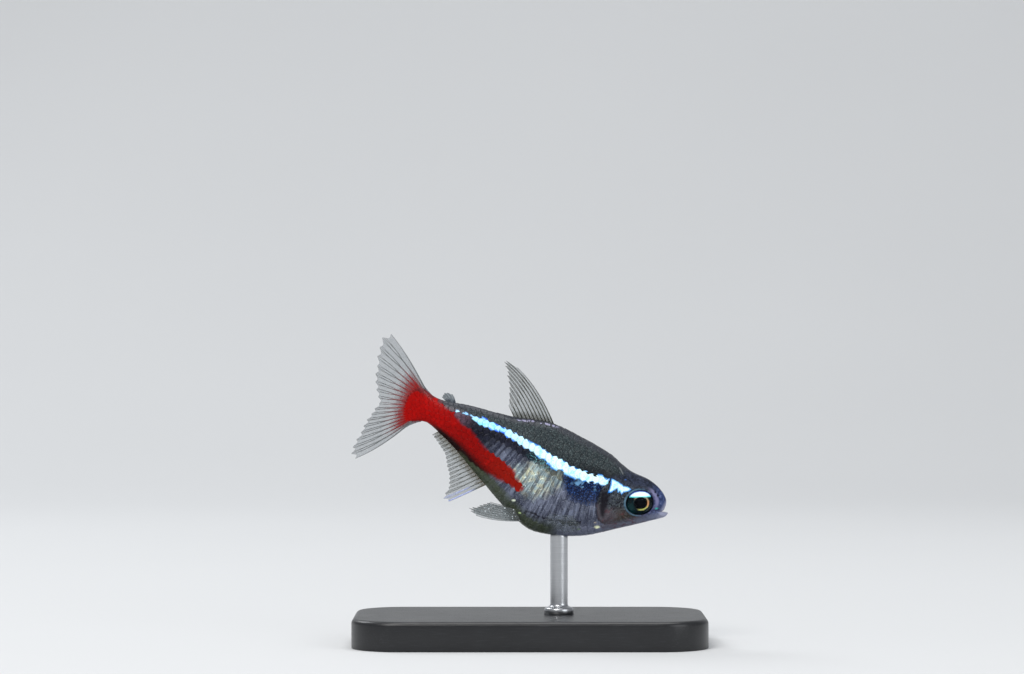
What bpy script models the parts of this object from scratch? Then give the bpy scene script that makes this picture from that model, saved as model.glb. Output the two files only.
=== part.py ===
"""A neon tetra at life size: a plump adult female that swims nose down, on a plain display stand.

The fish is modelled level, in its own frame: the snout's tip near the origin, +X ahead, +Y to its left,
+Z up. An empty then tips it nose down and lifts it onto the rod. Outlines give millimetres behind the
snout's tip and millimetres above or below the line from there to the middle of the tail's root.
"""

import math

import bmesh
import bpy
import numpy as np
from mathutils import Matrix, Vector

MM = 0.001
TOUCHING_GAP = 0.3 * MM

# The stand
BASE_LENGTH, BASE_WIDTH, BASE_THICKNESS = 36 * MM, 20 * MM, 3 * MM
BASE_CORNER, BASE_EDGE_ROUND = 5 * MM, 0.5 * MM
ROD_RADIUS = 0.9 * MM
ROD_AHEAD = 3 * MM
BELLY_ABOVE_BASE = 8 * MM

# The pose
NOSE_DOWN = math.radians(22.5)
ROD_BEHIND_SNOUT, ROD_BELOW_AXIS = 8.9 * MM, 7.1 * MM
SWING_START, SWING_SPAN, TAIL_SWING = 14 * MM, 14 * MM, 1.6 * MM

# The body's lines from snout to tail, each through a few stations
BODY_END = 27.9 * MM
BACK_LINE = [(0, -0.5), (0.03, 0.08), (0.4, 0.72), (1.1, 1.24), (2.4, 1.7), (4.6, 1.84), (7.3, 2.7),
             (10.5, 3.12), (14, 3.3), (17.8, 2.4), (22.4, 1.74), (26, 1.17), (27.9, 1.8)]
BELLY_LINE = [(-0.5, -0.64), (-0.46, -0.9), (-0.1, -1.34), (0.9, -2.12), (3.5, -4), (6.9, -6.3), (9.8, -7.35),
              (12, -7.65), (14.4, -6.86), (18.6, -4.82), (24.1, -2.15), (26, -1.6), (27.9, -2.4)]
WIDEST_LINE = [(0.85, -0.95), (2.6, -0.8), (6, -1.5), (11, -2.9), (16, -2), (21, -0.9), (27.9, -0.25)]
HALF_WIDTHS = [(0.85, 0.7), (1.5, 1.15), (2.6, 1.65), (4, 2), (6.5, 2.35), (10.5, 2.7), (13.5, 2.45),
               (17.5, 1.75), (21, 1.2), (25, 0.72), (27.9, 0.36)]
BACK_KEEL = [(0, 0.8), (6, 0.85), (12, 1), (20, 1), (27.9, 0.8)]
BELLY_KEEL = [(-0.5, 0.9), (6, 0.9), (12, 0.85), (17, 1.3), (23, 1.3), (27.9, 0.8)]

# The face: rings of the head lean so that the first one runs round the lips
FACE_LENGTH, CORNER_SETBACK, CHIN_REACH = 3 * MM, 0.85 * MM, 0.5 * MM
LIP_HEIGHT, LIP_BREADTH = 0.07 * MM, 0.16 * MM
# Inside the mouth: upper, lower and side points of each ring, and the ring's half-width
MOUTH_RINGS = [
    ((0.7, -0.88), (0.6, -0.98), (0.98, -1.04), 0.42),
    ((0.14, -0.6), (-0.26, -0.74), (0.92, -1), 0.6),
]
FACE_RINGS, BODY_RINGS, RING_POINTS = 10, 34, 36

# Where the body is divided, seen from the side
GILL_MARGIN = [(5.4, 4.2), (5.7, 2.2), (6.2, 0.9), (6.75, -0.2), (6.9, -1.4), (6.65, -2.7), (6, -3.9),
               (5.1, -4.8), (4.2, -6)]
VENT_LINE = [(18.7, 4.5), (18.4, 0), (17.5, -7)]
GILL_COVER = [(4.75, -0.3), (5.6, 0.05), (6.35, -0.1), (6.85, -1.2), (6.6, -2.7), (6, -3.8), (5.35, -4.2),
              (4.85, -3.7), (4.5, -2.5), (4.45, -1.2)]
COVER_RISE, COVER_THICKNESS = 0.12 * MM, 0.55 * MM
CHEEK_REACH = (3.6 * MM, 8 * MM)

# Eyes and nostrils
EYE_BEHIND, EYE_BELOW, EYE_ASIDE = 2.67 * MM, 0.77 * MM, 1.24 * MM
EYE_HALF_LENGTH, EYE_HALF_HEIGHT, EYE_HALF_THICKNESS = 1.45 * MM, 1.23 * MM, 0.64 * MM
EYE_FORWARD, EYE_TILT = math.radians(18), math.radians(22.5)
NOSTRILS = [(1.12, 0.62), (1.5, 0.86)]
NOSTRIL_RADIUS, NOSTRIL_SPREAD = 0.15 * MM, 0.95 * MM

# Fins: membrane, and the rays that stand out of it
MEMBRANE_HALF, RAY_HALF, MARGIN_HALF = 0.25 * MM, 0.37 * MM, 0.14 * MM
ROOT_SUNK = 0.6 * MM
SCALLOP = 0.95
# Each fin: how many rays it has, where the first and last leave the body, how far out it leans, how long the
# rays are, and the way they leave and end in degrees above level, by ray number, the rest in proportion
FINS = {
    "dorsal_fin": {
        "rays": 11, "roots": (13.3, 17.3), "rows": 10,
        "lengths": {0: 7.8, 1: 8.7, 2: 8.3, 5: 6, 10: 2}, "leave": {0: 46, 10: 44}, "end": {0: 16, 10: 4},
    },
    "adipose_fin": {
        "rays": 5, "roots": (23.75, 24.5), "rows": 5,
        "lengths": {0: 1.25, 1: 1.5, 2: 1.5, 4: 1}, "leave": {0: 62, 4: 30}, "end": {0: 20, 4: 12},
    },
    "anal_fin": {
        "rays": 18, "roots": (17.55, 24), "rows": 6,
        "lengths": {0: 4.7, 1: 5, 3: 3.8, 5: 3.1, 7: 2.6, 11: 1.75, 17: 1.3},
        "leave": {0: -48, 17: -50}, "end": {0: -46, 17: -30},
    },
    "tail_fin": {
        "rays": 19, "edge": (1.5, -2.1), "rows": 8,
        "lengths": {0: 6.9, 1: 7.2, 4: 5.7, 9: 4.1, 14: 6, 17: 7.5, 18: 7.1},
        "leave": {0: 40, 9: -20, 18: -63}, "end": {0: 26, 9: -22, 18: -44},
    },
    "pectoral_fin": {
        "rays": 10, "roots": (6.4, 6.7), "heights": (-4.3, -5.2), "rows": 7, "lean": 19,
        "lengths": {0: 4.9, 2: 5.3, 9: 2.4}, "leave": {0: -8, 9: -40}, "end": {0: -22, 9: -26},
    },
    "pelvic_fin": {
        "rays": 8, "roots": (12.9, 13.9), "heights": (-7.05, -6.2), "rows": 7, "lean": 9,
        "lengths": {0: 5.1, 1: 5.7, 7: 2.9}, "leave": {0: -24, 7: -12}, "end": {0: 2, 7: 6},
    },
}


def scene_cleared():
    """Removes what the scene holds."""
    for thing in list(bpy.data.objects):
        bpy.data.objects.remove(thing)


def collection_named(name):
    """A collection in the scene."""
    made = bpy.data.collections.new(name)
    bpy.context.scene.collection.children.link(made)
    return made


scene_cleared()
PARTS = collection_named("neon_tetra")
CUTTERS = collection_named("cutters")
CUTTERS.hide_render = True


def swing(behind):
    """How far the tail swings to the fish's left at a distance behind the snout."""
    past = np.maximum(behind - SWING_START, 0) / SWING_SPAN
    return TAIL_SWING * past**2


def smooth_line(stations, unit=MM):
    """A smooth line through a few stations, as a function of the distance behind the snout."""
    knots = np.array(stations, float) * (MM, unit)
    chord = np.concatenate([[0], np.cumsum(np.hypot(*(np.diff(knots, axis=0) / (MM, unit)).T))])
    slope = np.gradient(knots, chord, axis=0)
    along = np.linspace(0, chord[-1], 600)
    i = np.clip(np.searchsorted(chord, along, side="right") - 1, 0, len(chord) - 2)
    step = (chord[i + 1] - chord[i])[:, None]
    f = (along - chord[i])[:, None] / step
    fine = (
        (2 * f**3 - 3 * f**2 + 1) * knots[i]
        + (f**3 - 2 * f**2 + f) * step * slope[i]
        + (3 * f**2 - 2 * f**3) * knots[i + 1]
        + (f**3 - f**2) * step * slope[i + 1]
    )
    return lambda behind: np.interp(behind, fine[:, 0], fine[:, 1])


back = smooth_line(BACK_LINE)
belly = smooth_line(BELLY_LINE)
widest = smooth_line(WIDEST_LINE)
half_width = smooth_line(HALF_WIDTHS)
back_keel = smooth_line(BACK_KEEL, unit=1)
belly_keel = smooth_line(BELLY_KEEL, unit=1)


def ring(top, low, side, width, keels):
    """A closed ring of points through the top, the underside and two side points, each at half the width."""
    turn = np.linspace(-math.pi, math.pi, RING_POINTS, endpoint=False) + math.pi / 2
    rise, reach = np.sin(turn), np.abs(np.cos(turn))
    upper = rise >= 0
    end = np.where(upper[:, None], top, low)
    flat = np.array(side) + (end - side) * np.abs(rise)[:, None]
    aside = width * reach ** np.where(upper, *keels) * np.sign(np.cos(turn))
    return np.column_stack([-flat[:, 0], aside + swing(flat[:, 0]), flat[:, 1]])


def body_ring(station, proud=0.0):
    """The ring of the body at a station; near the snout it leans, and its lips stand a little proud."""
    lean = max(0, 1 - station / FACE_LENGTH) ** 2
    behind_side, behind_low = station + CORNER_SETBACK * lean, station - CHIN_REACH * lean
    proud += LIP_HEIGHT * math.exp(-(((station - LIP_BREADTH) / LIP_BREADTH) ** 2))
    return ring(
        (station, back(station) + proud),
        (behind_low, belly(behind_low) - proud),
        (behind_side, widest(behind_side)),
        half_width(behind_side) + proud,
        (back_keel(station), belly_keel(station)),
    )


def mouth_ring(upper, lower, side, width):
    """A ring of the mouth's inner wall."""
    return ring(*(np.array(p) * MM for p in (upper, lower, side)), width * MM, (1, 1))


def body_stations():
    """Stations of the body's rings, close together round the face."""
    face = FACE_LENGTH * np.linspace(0, 1, FACE_RINGS, endpoint=False) ** 1.7
    return [*face, *np.linspace(FACE_LENGTH, BODY_END, BODY_RINGS)]


def add_object(name, mesh, collection=PARTS):
    """Links a mesh as an object that stands in the fish's frame."""
    made = bpy.data.objects.new(name, mesh)
    collection.objects.link(made)
    return made


def loft(name, rings, collection):
    """A closed skin over rings with the same number of points, its two ends capped."""
    form = bmesh.new()
    rows = [[form.verts.new(p) for p in row] for row in rings]
    count = len(rows[0])
    for one, other in zip(rows, rows[1:]):
        for i in range(count):
            j = (i + 1) % count
            form.faces.new((one[i], one[j], other[j]))
            form.faces.new((one[i], other[j], other[i]))
    caps = [form.faces.new(rows[0][::-1]), form.faces.new(rows[-1])]
    bmesh.ops.triangulate(form, faces=caps)
    bmesh.ops.recalc_face_normals(form, faces=form.faces)
    mesh = bpy.data.meshes.new(name)
    form.to_mesh(mesh)
    form.free()
    mesh.shade_smooth()
    return add_object(name, mesh, collection)


def plate(name, middle, half, collection=PARTS):
    """A closed plate about a grid of middle points, with both its faces split alike."""
    across, along = np.gradient(middle, axis=1), np.gradient(middle, axis=0)
    normal = np.cross(across, along)
    normal /= np.linalg.norm(normal, axis=2)[:, :, None]
    sides = [middle + normal * half[:, :, None], middle - normal * half[:, :, None]]
    form = bmesh.new()
    front, rear = ([[form.verts.new(p) for p in row] for row in side] for side in sides)
    rows, columns = half.shape
    for i in range(rows - 1):
        for j in range(columns - 1):
            for grid, order in ((front, 1), (rear, -1)):
                a, b, c, d = grid[i][j], grid[i][j + 1], grid[i + 1][j + 1], grid[i + 1][j]
                form.faces.new((a, b, c)[::order])
                form.faces.new((a, c, d)[::order])
    rim = (
        [(0, j) for j in range(columns)]
        + [(i, columns - 1) for i in range(1, rows)]
        + [(rows - 1, j) for j in range(columns - 2, -1, -1)]
        + [(i, 0) for i in range(rows - 2, 0, -1)]
    )
    for (i, j), (k, m) in zip(rim, rim[1:] + rim[:1]):
        form.faces.new((front[k][m], front[i][j], rear[i][j]))
        form.faces.new((front[k][m], rear[i][j], rear[k][m]))
    bmesh.ops.recalc_face_normals(form, faces=form.faces)
    mesh = bpy.data.meshes.new(name)
    form.to_mesh(mesh)
    form.free()
    return add_object(name, mesh, collection)


def smooth_outline(points, closed=False):
    """Points along a smooth curve through a side outline, in metres, four to each of its spans."""
    knots = np.array(points, float) * MM
    before, after = (np.roll(knots, 1, 0), np.roll(knots, -1, 0))
    if not closed:
        before[0], after[-1] = knots[0], knots[-1]
    slope = (after - before) / 2
    spans = len(knots) if closed else len(knots) - 1
    fine = []
    for i in range(spans):
        j = (i + 1) % len(knots)
        for f in np.arange(4) / 4:
            fine.append(
                (2 * f**3 - 3 * f**2 + 1) * knots[i]
                + (f**3 - 2 * f**2 + f) * slope[i]
                + (3 * f**2 - 2 * f**3) * knots[j]
                + (f**3 - f**2) * slope[j]
            )
    return np.array(fine if closed else [*fine, knots[-1]])


def moved_out(outline, distance, closed=False):
    """An outline moved to its left by a distance."""
    heading = np.roll(outline, -1, 0) - np.roll(outline, 1, 0)
    if not closed:
        heading[0], heading[-1] = outline[1] - outline[0], outline[-1] - outline[-2]
    heading /= np.linalg.norm(heading, axis=1)[:, None]
    return outline + distance * np.column_stack([-heading[:, 1], heading[:, 0]])


def prism(name, outline, nearest=-8 * MM, farthest=8 * MM):
    """A cutter that runs from side to side of the fish, with an outline seen from the side."""
    curve = bpy.data.curves.new(name, "CURVE")
    curve.dimensions = "2D"
    curve.fill_mode = "BOTH"
    curve.extrude = (farthest - nearest) / 2
    spline = curve.splines.new("POLY")
    spline.points.add(len(outline) - 1)
    for point, (behind, height) in zip(spline.points, outline):
        point.co = (-behind, height, 0, 1)
    spline.use_cyclic_u = True
    drawn = add_object(name, curve, CUTTERS)
    across = Matrix.Translation((0, (nearest + farthest) / 2, 0))
    drawn.matrix_world = across @ Matrix.Rotation(math.pi / 2, 4, "X")
    return solid_from_curve(drawn)


def solid_from_curve(drawn):
    """The curve object made a closed mesh object in its place, in the fish's frame."""
    bpy.context.view_layer.update()
    graph = bpy.context.evaluated_depsgraph_get()
    mesh = bpy.data.meshes.new_from_object(drawn.evaluated_get(graph))
    mesh.transform(drawn.matrix_world)
    form = bmesh.new()
    form.from_mesh(mesh)
    bmesh.ops.remove_doubles(form, verts=form.verts, dist=0.001 * MM)
    bmesh.ops.recalc_face_normals(form, faces=form.faces)
    form.to_mesh(mesh)
    form.free()
    name, collection = drawn.name, drawn.users_collection[0]
    bpy.data.objects.remove(drawn)
    return add_object(name, mesh, collection)


def ellipsoid(name, centre, radii, collection, segments=20, rings=12, turn=0.0, tilt=0.0):
    """A ball, stretched along each axis, with its poles to the fish's sides, its front turned and tilted up."""
    form = bmesh.new()
    bmesh.ops.create_uvsphere(form, u_segments=segments, v_segments=rings, radius=1)
    flat, tall, deep = radii
    size = Matrix.Diagonal((flat, deep, tall, 1)) @ Matrix.Rotation(math.pi / 2, 4, "X")
    place = Matrix.Translation(centre) @ Matrix.Rotation(turn, 4, "Z") @ Matrix.Rotation(-tilt, 4, "Y")
    bmesh.ops.transform(form, matrix=place @ size, verts=form.verts)
    mesh = bpy.data.meshes.new(name)
    form.to_mesh(mesh)
    form.free()
    mesh.shade_smooth()
    return add_object(name, mesh, collection)


def combine(target, other, operation):
    """Cuts the other solid out of the target, or keeps only what both fill."""
    step = target.modifiers.new(operation.lower(), "BOOLEAN")
    step.operation = operation
    step.object = other
    step.solver = "EXACT"
    return target


def cheeks(name, proud, collection=CUTTERS):
    """The stretch of the body that the gill covers lie on, with its skin moved out by a distance."""
    return loft(name, [body_ring(station, proud) for station in np.linspace(*CHEEK_REACH, 12)], collection)


def copy_of(source, name, collection=PARTS):
    """Another object with the same mesh."""
    return add_object(name, source.data, collection)


# The body, whole, and the copies that its neighbours are cut by
stations = body_stations()
body_rings = [body_ring(station) for station in stations]
whole_body = loft("whole_body", [*(mouth_ring(*r) for r in MOUTH_RINGS), *body_rings], CUTTERS)
shut_body = loft("shut_body", body_rings, CUTTERS)
body_clearance = copy_of(shut_body, "body_clearance", CUTTERS)
clearance = body_clearance.modifiers.new("clearance", "DISPLACE")
clearance.strength, clearance.mid_level = TOUCHING_GAP, 0
cover_inside = cheeks("cover_inside", COVER_RISE - COVER_THICKNESS)
pocket_inside = cheeks("pocket_inside", COVER_RISE - COVER_THICKNESS - TOUCHING_GAP)

# Prisms that divide it
gill_margin = smooth_outline(GILL_MARGIN)
vent_line = smooth_outline(VENT_LINE)
ahead = np.array([(-3, -9), (-3, 6)]) * MM
behind_all = np.array([(36, -9), (36, 6)]) * MM
head_region = prism("head_region", [*gill_margin, *ahead])
head_and_gap = prism("head_and_gap", [*moved_out(gill_margin, TOUCHING_GAP), *ahead])
tail_region = prism("tail_region", [*vent_line, *behind_all])
tail_and_gap = prism("tail_and_gap", [*moved_out(vent_line, -TOUCHING_GAP), *behind_all])
cover_outline = smooth_outline(GILL_COVER, closed=True)
cover_and_gap = moved_out(cover_outline, TOUCHING_GAP, closed=True)


def add_head():
    """The head with its mouth, sockets and nostrils, the gill covers and the eyes."""
    head = copy_of(whole_body, "head")
    combine(head, head_region, "INTERSECT")
    for side, name in ((-1, "right"), (1, "left")):
        reach = sorted((side * 0.4 * MM, side * 8 * MM))
        pocket = prism("pocket_" + name, cover_and_gap, *reach)
        combine(pocket, pocket_inside, "DIFFERENCE")
        combine(head, pocket, "DIFFERENCE")
        cover = cheeks("gill_cover_" + name, COVER_RISE, PARTS)
        combine(cover, prism("cover_" + name, cover_outline, *reach), "INTERSECT")
        combine(cover, cover_inside, "DIFFERENCE")
        centre = Vector((-EYE_BEHIND, side * EYE_ASIDE, -EYE_BELOW))
        radii = Vector((EYE_HALF_LENGTH, EYE_HALF_HEIGHT, EYE_HALF_THICKNESS))
        gap = Vector((1, 1, 1)) * TOUCHING_GAP
        turn = -side * EYE_FORWARD
        ellipsoid("eye_" + name, centre, radii, PARTS, turn=turn, tilt=EYE_TILT)
        socket = ellipsoid("socket_" + name, centre, radii + gap, CUTTERS, 24, 14, turn, EYE_TILT)
        combine(head, socket, "DIFFERENCE")
        pit_size = Vector((1, 1, 3)) * NOSTRIL_RADIUS
        for behind, height in NOSTRILS:
            place = Vector((-behind * MM, side * NOSTRIL_SPREAD, height * MM))
            combine(head, ellipsoid("nostril", place, pit_size, CUTTERS, 8, 6), "DIFFERENCE")


def add_trunk_and_tail():
    """The trunk from the gills to the vent, and the tail from there to the root of its fin."""
    trunk = copy_of(whole_body, "trunk")
    combine(trunk, head_and_gap, "DIFFERENCE")
    combine(trunk, tail_and_gap, "DIFFERENCE")
    combine(copy_of(whole_body, "tail"), tail_region, "INTERSECT")


def by_ray(values, rays):
    """A value for each ray from those given for some."""
    return np.interp(np.arange(rays), list(values), list(values.values()))


def ray_grid(roots, lengths, leave, end, lean, rows):
    """Middle points of a fin: the longest ray bends all the way from how it leaves to how it ends."""
    along = np.linspace(0, 1, rows)
    fine = np.linspace(0, 1, 61)
    grid = np.empty((rows, len(roots), 3))
    for j, (root, length, first, last) in enumerate(zip(roots, lengths, leave, end)):
        angle = first + (last - first) * (fine * length / max(lengths)) ** 1.5
        run = np.concatenate([[0], np.cumsum(np.cos(angle[1:]))]) / 60
        rise = np.concatenate([[0], np.cumsum(np.sin(angle[1:]))]) / 60
        flat = length * math.cos(lean)
        grid[:, j, 0] = root[0] + flat * np.interp(along, fine, run)
        grid[:, j, 1] = root[1] + length * math.sin(lean) * along
        grid[:, j, 2] = root[2] + flat * np.interp(along, fine, rise)
    return grid


def between_rays(values):
    """The values of the rays with the membrane's own between each two."""
    values = np.asarray(values, float)
    fuller = np.empty((2 * len(values) - 1, *values.shape[1:]))
    fuller[0::2] = values
    fuller[1::2] = (values[1:] + values[:-1]) / 2
    return fuller


def add_fin(name, fin, behind, height, aside=0.0, side=1, ray_half=RAY_HALF):
    """A fin with a ridge along each ray, cut clear of the body that it grows from."""
    rays, rows = fin["rays"], fin["rows"]
    roots = np.column_stack([behind, np.full(rays, aside), height])
    lengths = between_rays(by_ray(fin["lengths"], rays)) * MM
    lengths[1::2] *= SCALLOP
    leave, end = (between_rays(np.radians(by_ray(fin[way], rays))) for way in ("leave", "end"))
    grid = ray_grid(between_rays(roots), lengths, leave, end, side * math.radians(fin.get("lean", 0)), rows)
    grid[:, :, 1] += swing(grid[:, :, 0])
    grid[:, :, 0] *= -1
    along = np.linspace(0, 1, rows)[:, None]
    is_ray = np.arange(grid.shape[1])[None, :] % 2 == 0
    half = np.where(is_ray, ray_half + (MEMBRANE_HALF - ray_half) * along**2, MEMBRANE_HALF)
    half[-1] = MARGIN_HALF
    return combine(plate(name, grid, half), body_clearance, "DIFFERENCE")


def add_median_fins():
    """The dorsal, adipose, anal and tail fins, which stand on the fish's middle plane."""
    for name in ("dorsal_fin", "adipose_fin", "anal_fin"):
        fin = FINS[name]
        behind = np.linspace(*fin["roots"], fin["rays"]) * MM
        height = belly(behind) + ROOT_SUNK if name == "anal_fin" else back(behind) - ROOT_SUNK
        if name == "adipose_fin":
            add_fin(name, fin, behind, height + ROOT_SUNK / 2, ray_half=MEMBRANE_HALF)
        else:
            add_fin(name, fin, behind, height)
    fin = FINS["tail_fin"]
    edge = np.linspace(*fin["edge"], fin["rays"]) * MM
    add_fin("tail_fin", fin, np.full(fin["rays"], BODY_END - ROOT_SUNK), edge)


def flank(behind, height):
    """How far out the body's side is at a place on it."""
    middle, keel = widest(behind), back_keel(behind)
    edge = back(behind)
    if height < middle:
        keel, edge = belly_keel(behind), belly(behind)
    share = min(abs((height - middle) / (edge - middle)), 1)
    return half_width(behind) * math.sqrt(1 - share**2) ** keel


def add_paired_fins():
    """The pectoral and pelvic fins of both sides."""
    for kind in ("pectoral_fin", "pelvic_fin"):
        fin = FINS[kind]
        behind, height = (np.linspace(*fin[line], fin["rays"]) * MM for line in ("roots", "heights"))
        out = np.array([flank(*place) for place in zip(behind, height)]) - ROOT_SUNK / 2
        for side, name in ((-1, "_right"), (1, "_left")):
            add_fin(kind + name, fin, behind, height, side * out, side)


def add_stand():
    """A flat base with round corners, and one rod that ends under the belly."""
    form = bmesh.new()
    bmesh.ops.create_cube(form, size=1)
    size = Matrix.Diagonal((BASE_LENGTH, BASE_WIDTH, BASE_THICKNESS, 1))
    bmesh.ops.transform(form, matrix=Matrix.Translation((0, 0, BASE_THICKNESS / 2)) @ size, verts=form.verts)
    upright = [e for e in form.edges if abs(e.verts[0].co.z - e.verts[1].co.z) > BASE_THICKNESS / 2]
    bmesh.ops.bevel(form, geom=upright, offset=BASE_CORNER, segments=8, profile=0.5, affect="EDGES")
    rim = [e for e in form.edges if min(v.co.z for v in e.verts) > BASE_THICKNESS * 0.9]
    bmesh.ops.bevel(form, geom=rim, offset=BASE_EDGE_ROUND, segments=3, profile=0.5, affect="EDGES")
    mesh = bpy.data.meshes.new("stand_base")
    form.to_mesh(mesh)
    form.free()
    add_object("stand_base", mesh)
    bottom, top = BASE_THICKNESS + TOUCHING_GAP, BASE_THICKNESS + BELLY_ABOVE_BASE + 2 * MM
    form = bmesh.new()
    size = {"segments": 24, "radius1": ROD_RADIUS, "radius2": ROD_RADIUS, "depth": top - bottom}
    bmesh.ops.create_cone(form, cap_ends=True, **size)
    upright = Matrix.Translation((ROD_AHEAD, 0, (top + bottom) / 2))
    bmesh.ops.transform(form, matrix=upright, verts=form.verts)
    mesh = bpy.data.meshes.new("stand_rod")
    form.to_mesh(mesh)
    form.free()
    combine(add_object("stand_rod", mesh), body_clearance, "DIFFERENCE")


def pose_fish():
    """Parents the fish and its cutters to an empty that tips it nose down and sets its belly over the rod."""
    pose = bpy.data.objects.new("fish_pose", None)
    PARTS.objects.link(pose)
    turn = Matrix.Rotation(NOSE_DOWN, 4, "Y")
    seat = turn @ Vector((-ROD_BEHIND_SNOUT, 0, -ROD_BELOW_AXIS))
    pose.rotation_euler = turn.to_euler()
    pose.location = Vector((ROD_AHEAD, 0, BASE_THICKNESS + BELLY_ABOVE_BASE)) - seat
    for thing in [*PARTS.objects, *CUTTERS.objects]:
        if thing is not pose and not thing.name.startswith("stand_"):
            thing.parent = pose


def finish(name, colour, roughness, metallic=0.0):
    """A plain material."""
    made = bpy.data.materials.new(name)
    made.use_nodes = True
    shader = made.node_tree.nodes["Principled BSDF"]
    shader.inputs["Base Color"].default_value = (*colour, 1)
    shader.inputs["Roughness"].default_value = roughness
    shader.inputs["Metallic"].default_value = metallic
    return made


def give_finishes():
    """Gives each part the colour that most of it has."""
    looks = {
        "head": finish("head_skin", (0.06, 0.07, 0.12), 0.35),
        "gill_cover": finish("gill_cover_silver", (0.12, 0.13, 0.17), 0.25, 0.3),
        "trunk": finish("belly_silver", (0.2, 0.22, 0.24), 0.3, 0.3),
        "tail": finish("tail_red", (0.55, 0.01, 0.01), 0.35),
        "eye": finish("eye_black", (0.01, 0.01, 0.01), 0.05),
        "fin": finish("clear_fin", (0.5, 0.55, 0.5), 0.3),
        "stand_base": finish("base_black", (0.03, 0.03, 0.03), 0.4),
        "stand_rod": finish("rod_steel", (0.6, 0.6, 0.6), 0.25, 1.0),
    }
    for part in PARTS.objects:
        if part.type != "MESH":
            continue
        kind = "fin" if "_fin" in part.name else part.name.removesuffix("_right").removesuffix("_left")
        part.data = part.data.copy()
        part.data.materials.clear()
        part.data.materials.append(looks[kind])


add_head()
add_trunk_and_tail()
add_median_fins()
add_paired_fins()
add_stand()
for cutter in CUTTERS.objects:
    cutter.hide_render = True
    cutter.display_type = "WIRE"
pose_fish()
give_finishes()
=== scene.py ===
"""The looks of a neon tetra on its display stand: skin, scales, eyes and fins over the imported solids.

The fish is shaped level, in its own frame and in millimetres: the snout's tip near the origin, +X ahead,
+Y to its left, +Z up. Outlines give the distance behind the snout's tip and the height above the line from
there to the middle of the tail's root. One pose tips every piece of the fish nose down over the rod.
"""

import math

import bpy
import numpy as np
from mathutils import Matrix, Vector


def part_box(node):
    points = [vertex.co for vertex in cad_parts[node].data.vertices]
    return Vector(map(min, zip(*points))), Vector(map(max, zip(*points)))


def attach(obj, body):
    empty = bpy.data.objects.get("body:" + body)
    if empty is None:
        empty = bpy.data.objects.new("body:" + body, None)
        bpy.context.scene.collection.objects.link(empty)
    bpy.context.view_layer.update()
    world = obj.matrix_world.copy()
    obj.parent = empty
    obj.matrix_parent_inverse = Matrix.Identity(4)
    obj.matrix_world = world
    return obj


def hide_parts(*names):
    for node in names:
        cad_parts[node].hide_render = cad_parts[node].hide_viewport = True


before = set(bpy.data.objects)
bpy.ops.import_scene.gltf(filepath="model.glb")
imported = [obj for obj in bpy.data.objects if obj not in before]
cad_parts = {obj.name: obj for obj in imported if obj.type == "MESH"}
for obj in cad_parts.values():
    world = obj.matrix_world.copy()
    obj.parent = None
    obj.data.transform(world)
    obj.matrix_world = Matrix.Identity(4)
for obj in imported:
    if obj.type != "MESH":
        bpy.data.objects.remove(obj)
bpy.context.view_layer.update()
MM = 0.001

# The stand, as the solids have it
BASE_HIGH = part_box("stand_base")[1]
ROD_LOW, ROD_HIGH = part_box("stand_rod")
BASE_TOP = BASE_HIGH.z / MM
ROD_X = (ROD_LOW.x + ROD_HIGH.x) / 2 / MM
ROD_RADIUS = (ROD_HIGH.x - ROD_LOW.x) / 2 / MM
BELLY_ABOVE_BASE = 8
BASE_CORNER, BASE_EDGE_ROUND = 5, 0.5
# The collar's radii and heights on the base, and the rod's top: its share of the radius, and how far it
# stays below the belly
COLLAR = [(0.3, -0.05), (1.5, -0.05), (1.5, 0.5), (1.47, 0.6), (1.38, 0.68), (1.05, 0.8), (0.93, 0.9)]
COLLAR_TOP, ROD_SIDES = 1.05, 48
ROD_TOP = [(1, 0.25), (1, 0.08), (0.97, -0.04), (0.3 / ROD_RADIUS, -0.06)]
# Where the belly's height over the rod is looked for, about the height of its middle, and in how many steps
BELLY_SEARCH, SEARCH_STEPS = (-3, 4), 30

# The pose
NOSE_DOWN = math.radians(22.5)
ROD_BEHIND_SNOUT, ROD_BELOW_AXIS = 8.9, 7.1
SWING_START, SWING_SPAN, TAIL_SWING = 14, 14, 1.6

# The body's lines from snout to tail, each through a few stations
BODY_END = 27.9
BACK_LINE = [(0, -0.5), (0.03, 0.08), (0.4, 0.72), (1.1, 1.24), (2.4, 1.7), (4.6, 1.84), (7.3, 2.7),
             (10.5, 3.12), (14, 3.3), (17.8, 2.4), (22.4, 1.74), (26, 1.17), (27.9, 1.62)]
BELLY_LINE = [(-0.5, -0.64), (-0.46, -0.9), (-0.1, -1.34), (0.9, -2.12), (3.5, -4), (6.9, -6.3), (9.8, -7.35),
              (12, -7.65), (14.4, -6.86), (18.6, -4.82), (24.1, -2.15), (26, -1.6), (27.9, -2.4)]
WIDEST_LINE = [(0.85, -0.95), (2.6, -0.8), (6, -1.5), (11, -2.9), (16, -2), (21, -0.9), (27.9, -0.25)]
HALF_WIDTHS = [(0.85, 0.7), (1.5, 1.15), (2.6, 1.65), (4, 2), (6.5, 2.35), (10.5, 2.7), (13.5, 2.45),
               (17.5, 1.75), (21, 1.2), (25, 0.7), (26.5, 0.48), (27.9, 0.2)]
# How full the body is above and below its widest line: less is fuller, more comes to a keel
BACK_KEEL = [(0, 0.8), (6, 0.85), (12, 1), (20, 1), (27.9, 0.8)]
BELLY_KEEL = [(-0.5, 0.9), (6, 0.9), (12, 0.85), (17, 1.3), (23, 1.3), (27.9, 0.8)]
FACE_LENGTH, CORNER_SETBACK, CHIN_REACH = 3, 0.85, 0.5
LIP_HEIGHT, LIP_BREADTH = 0.07, 0.16
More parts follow.
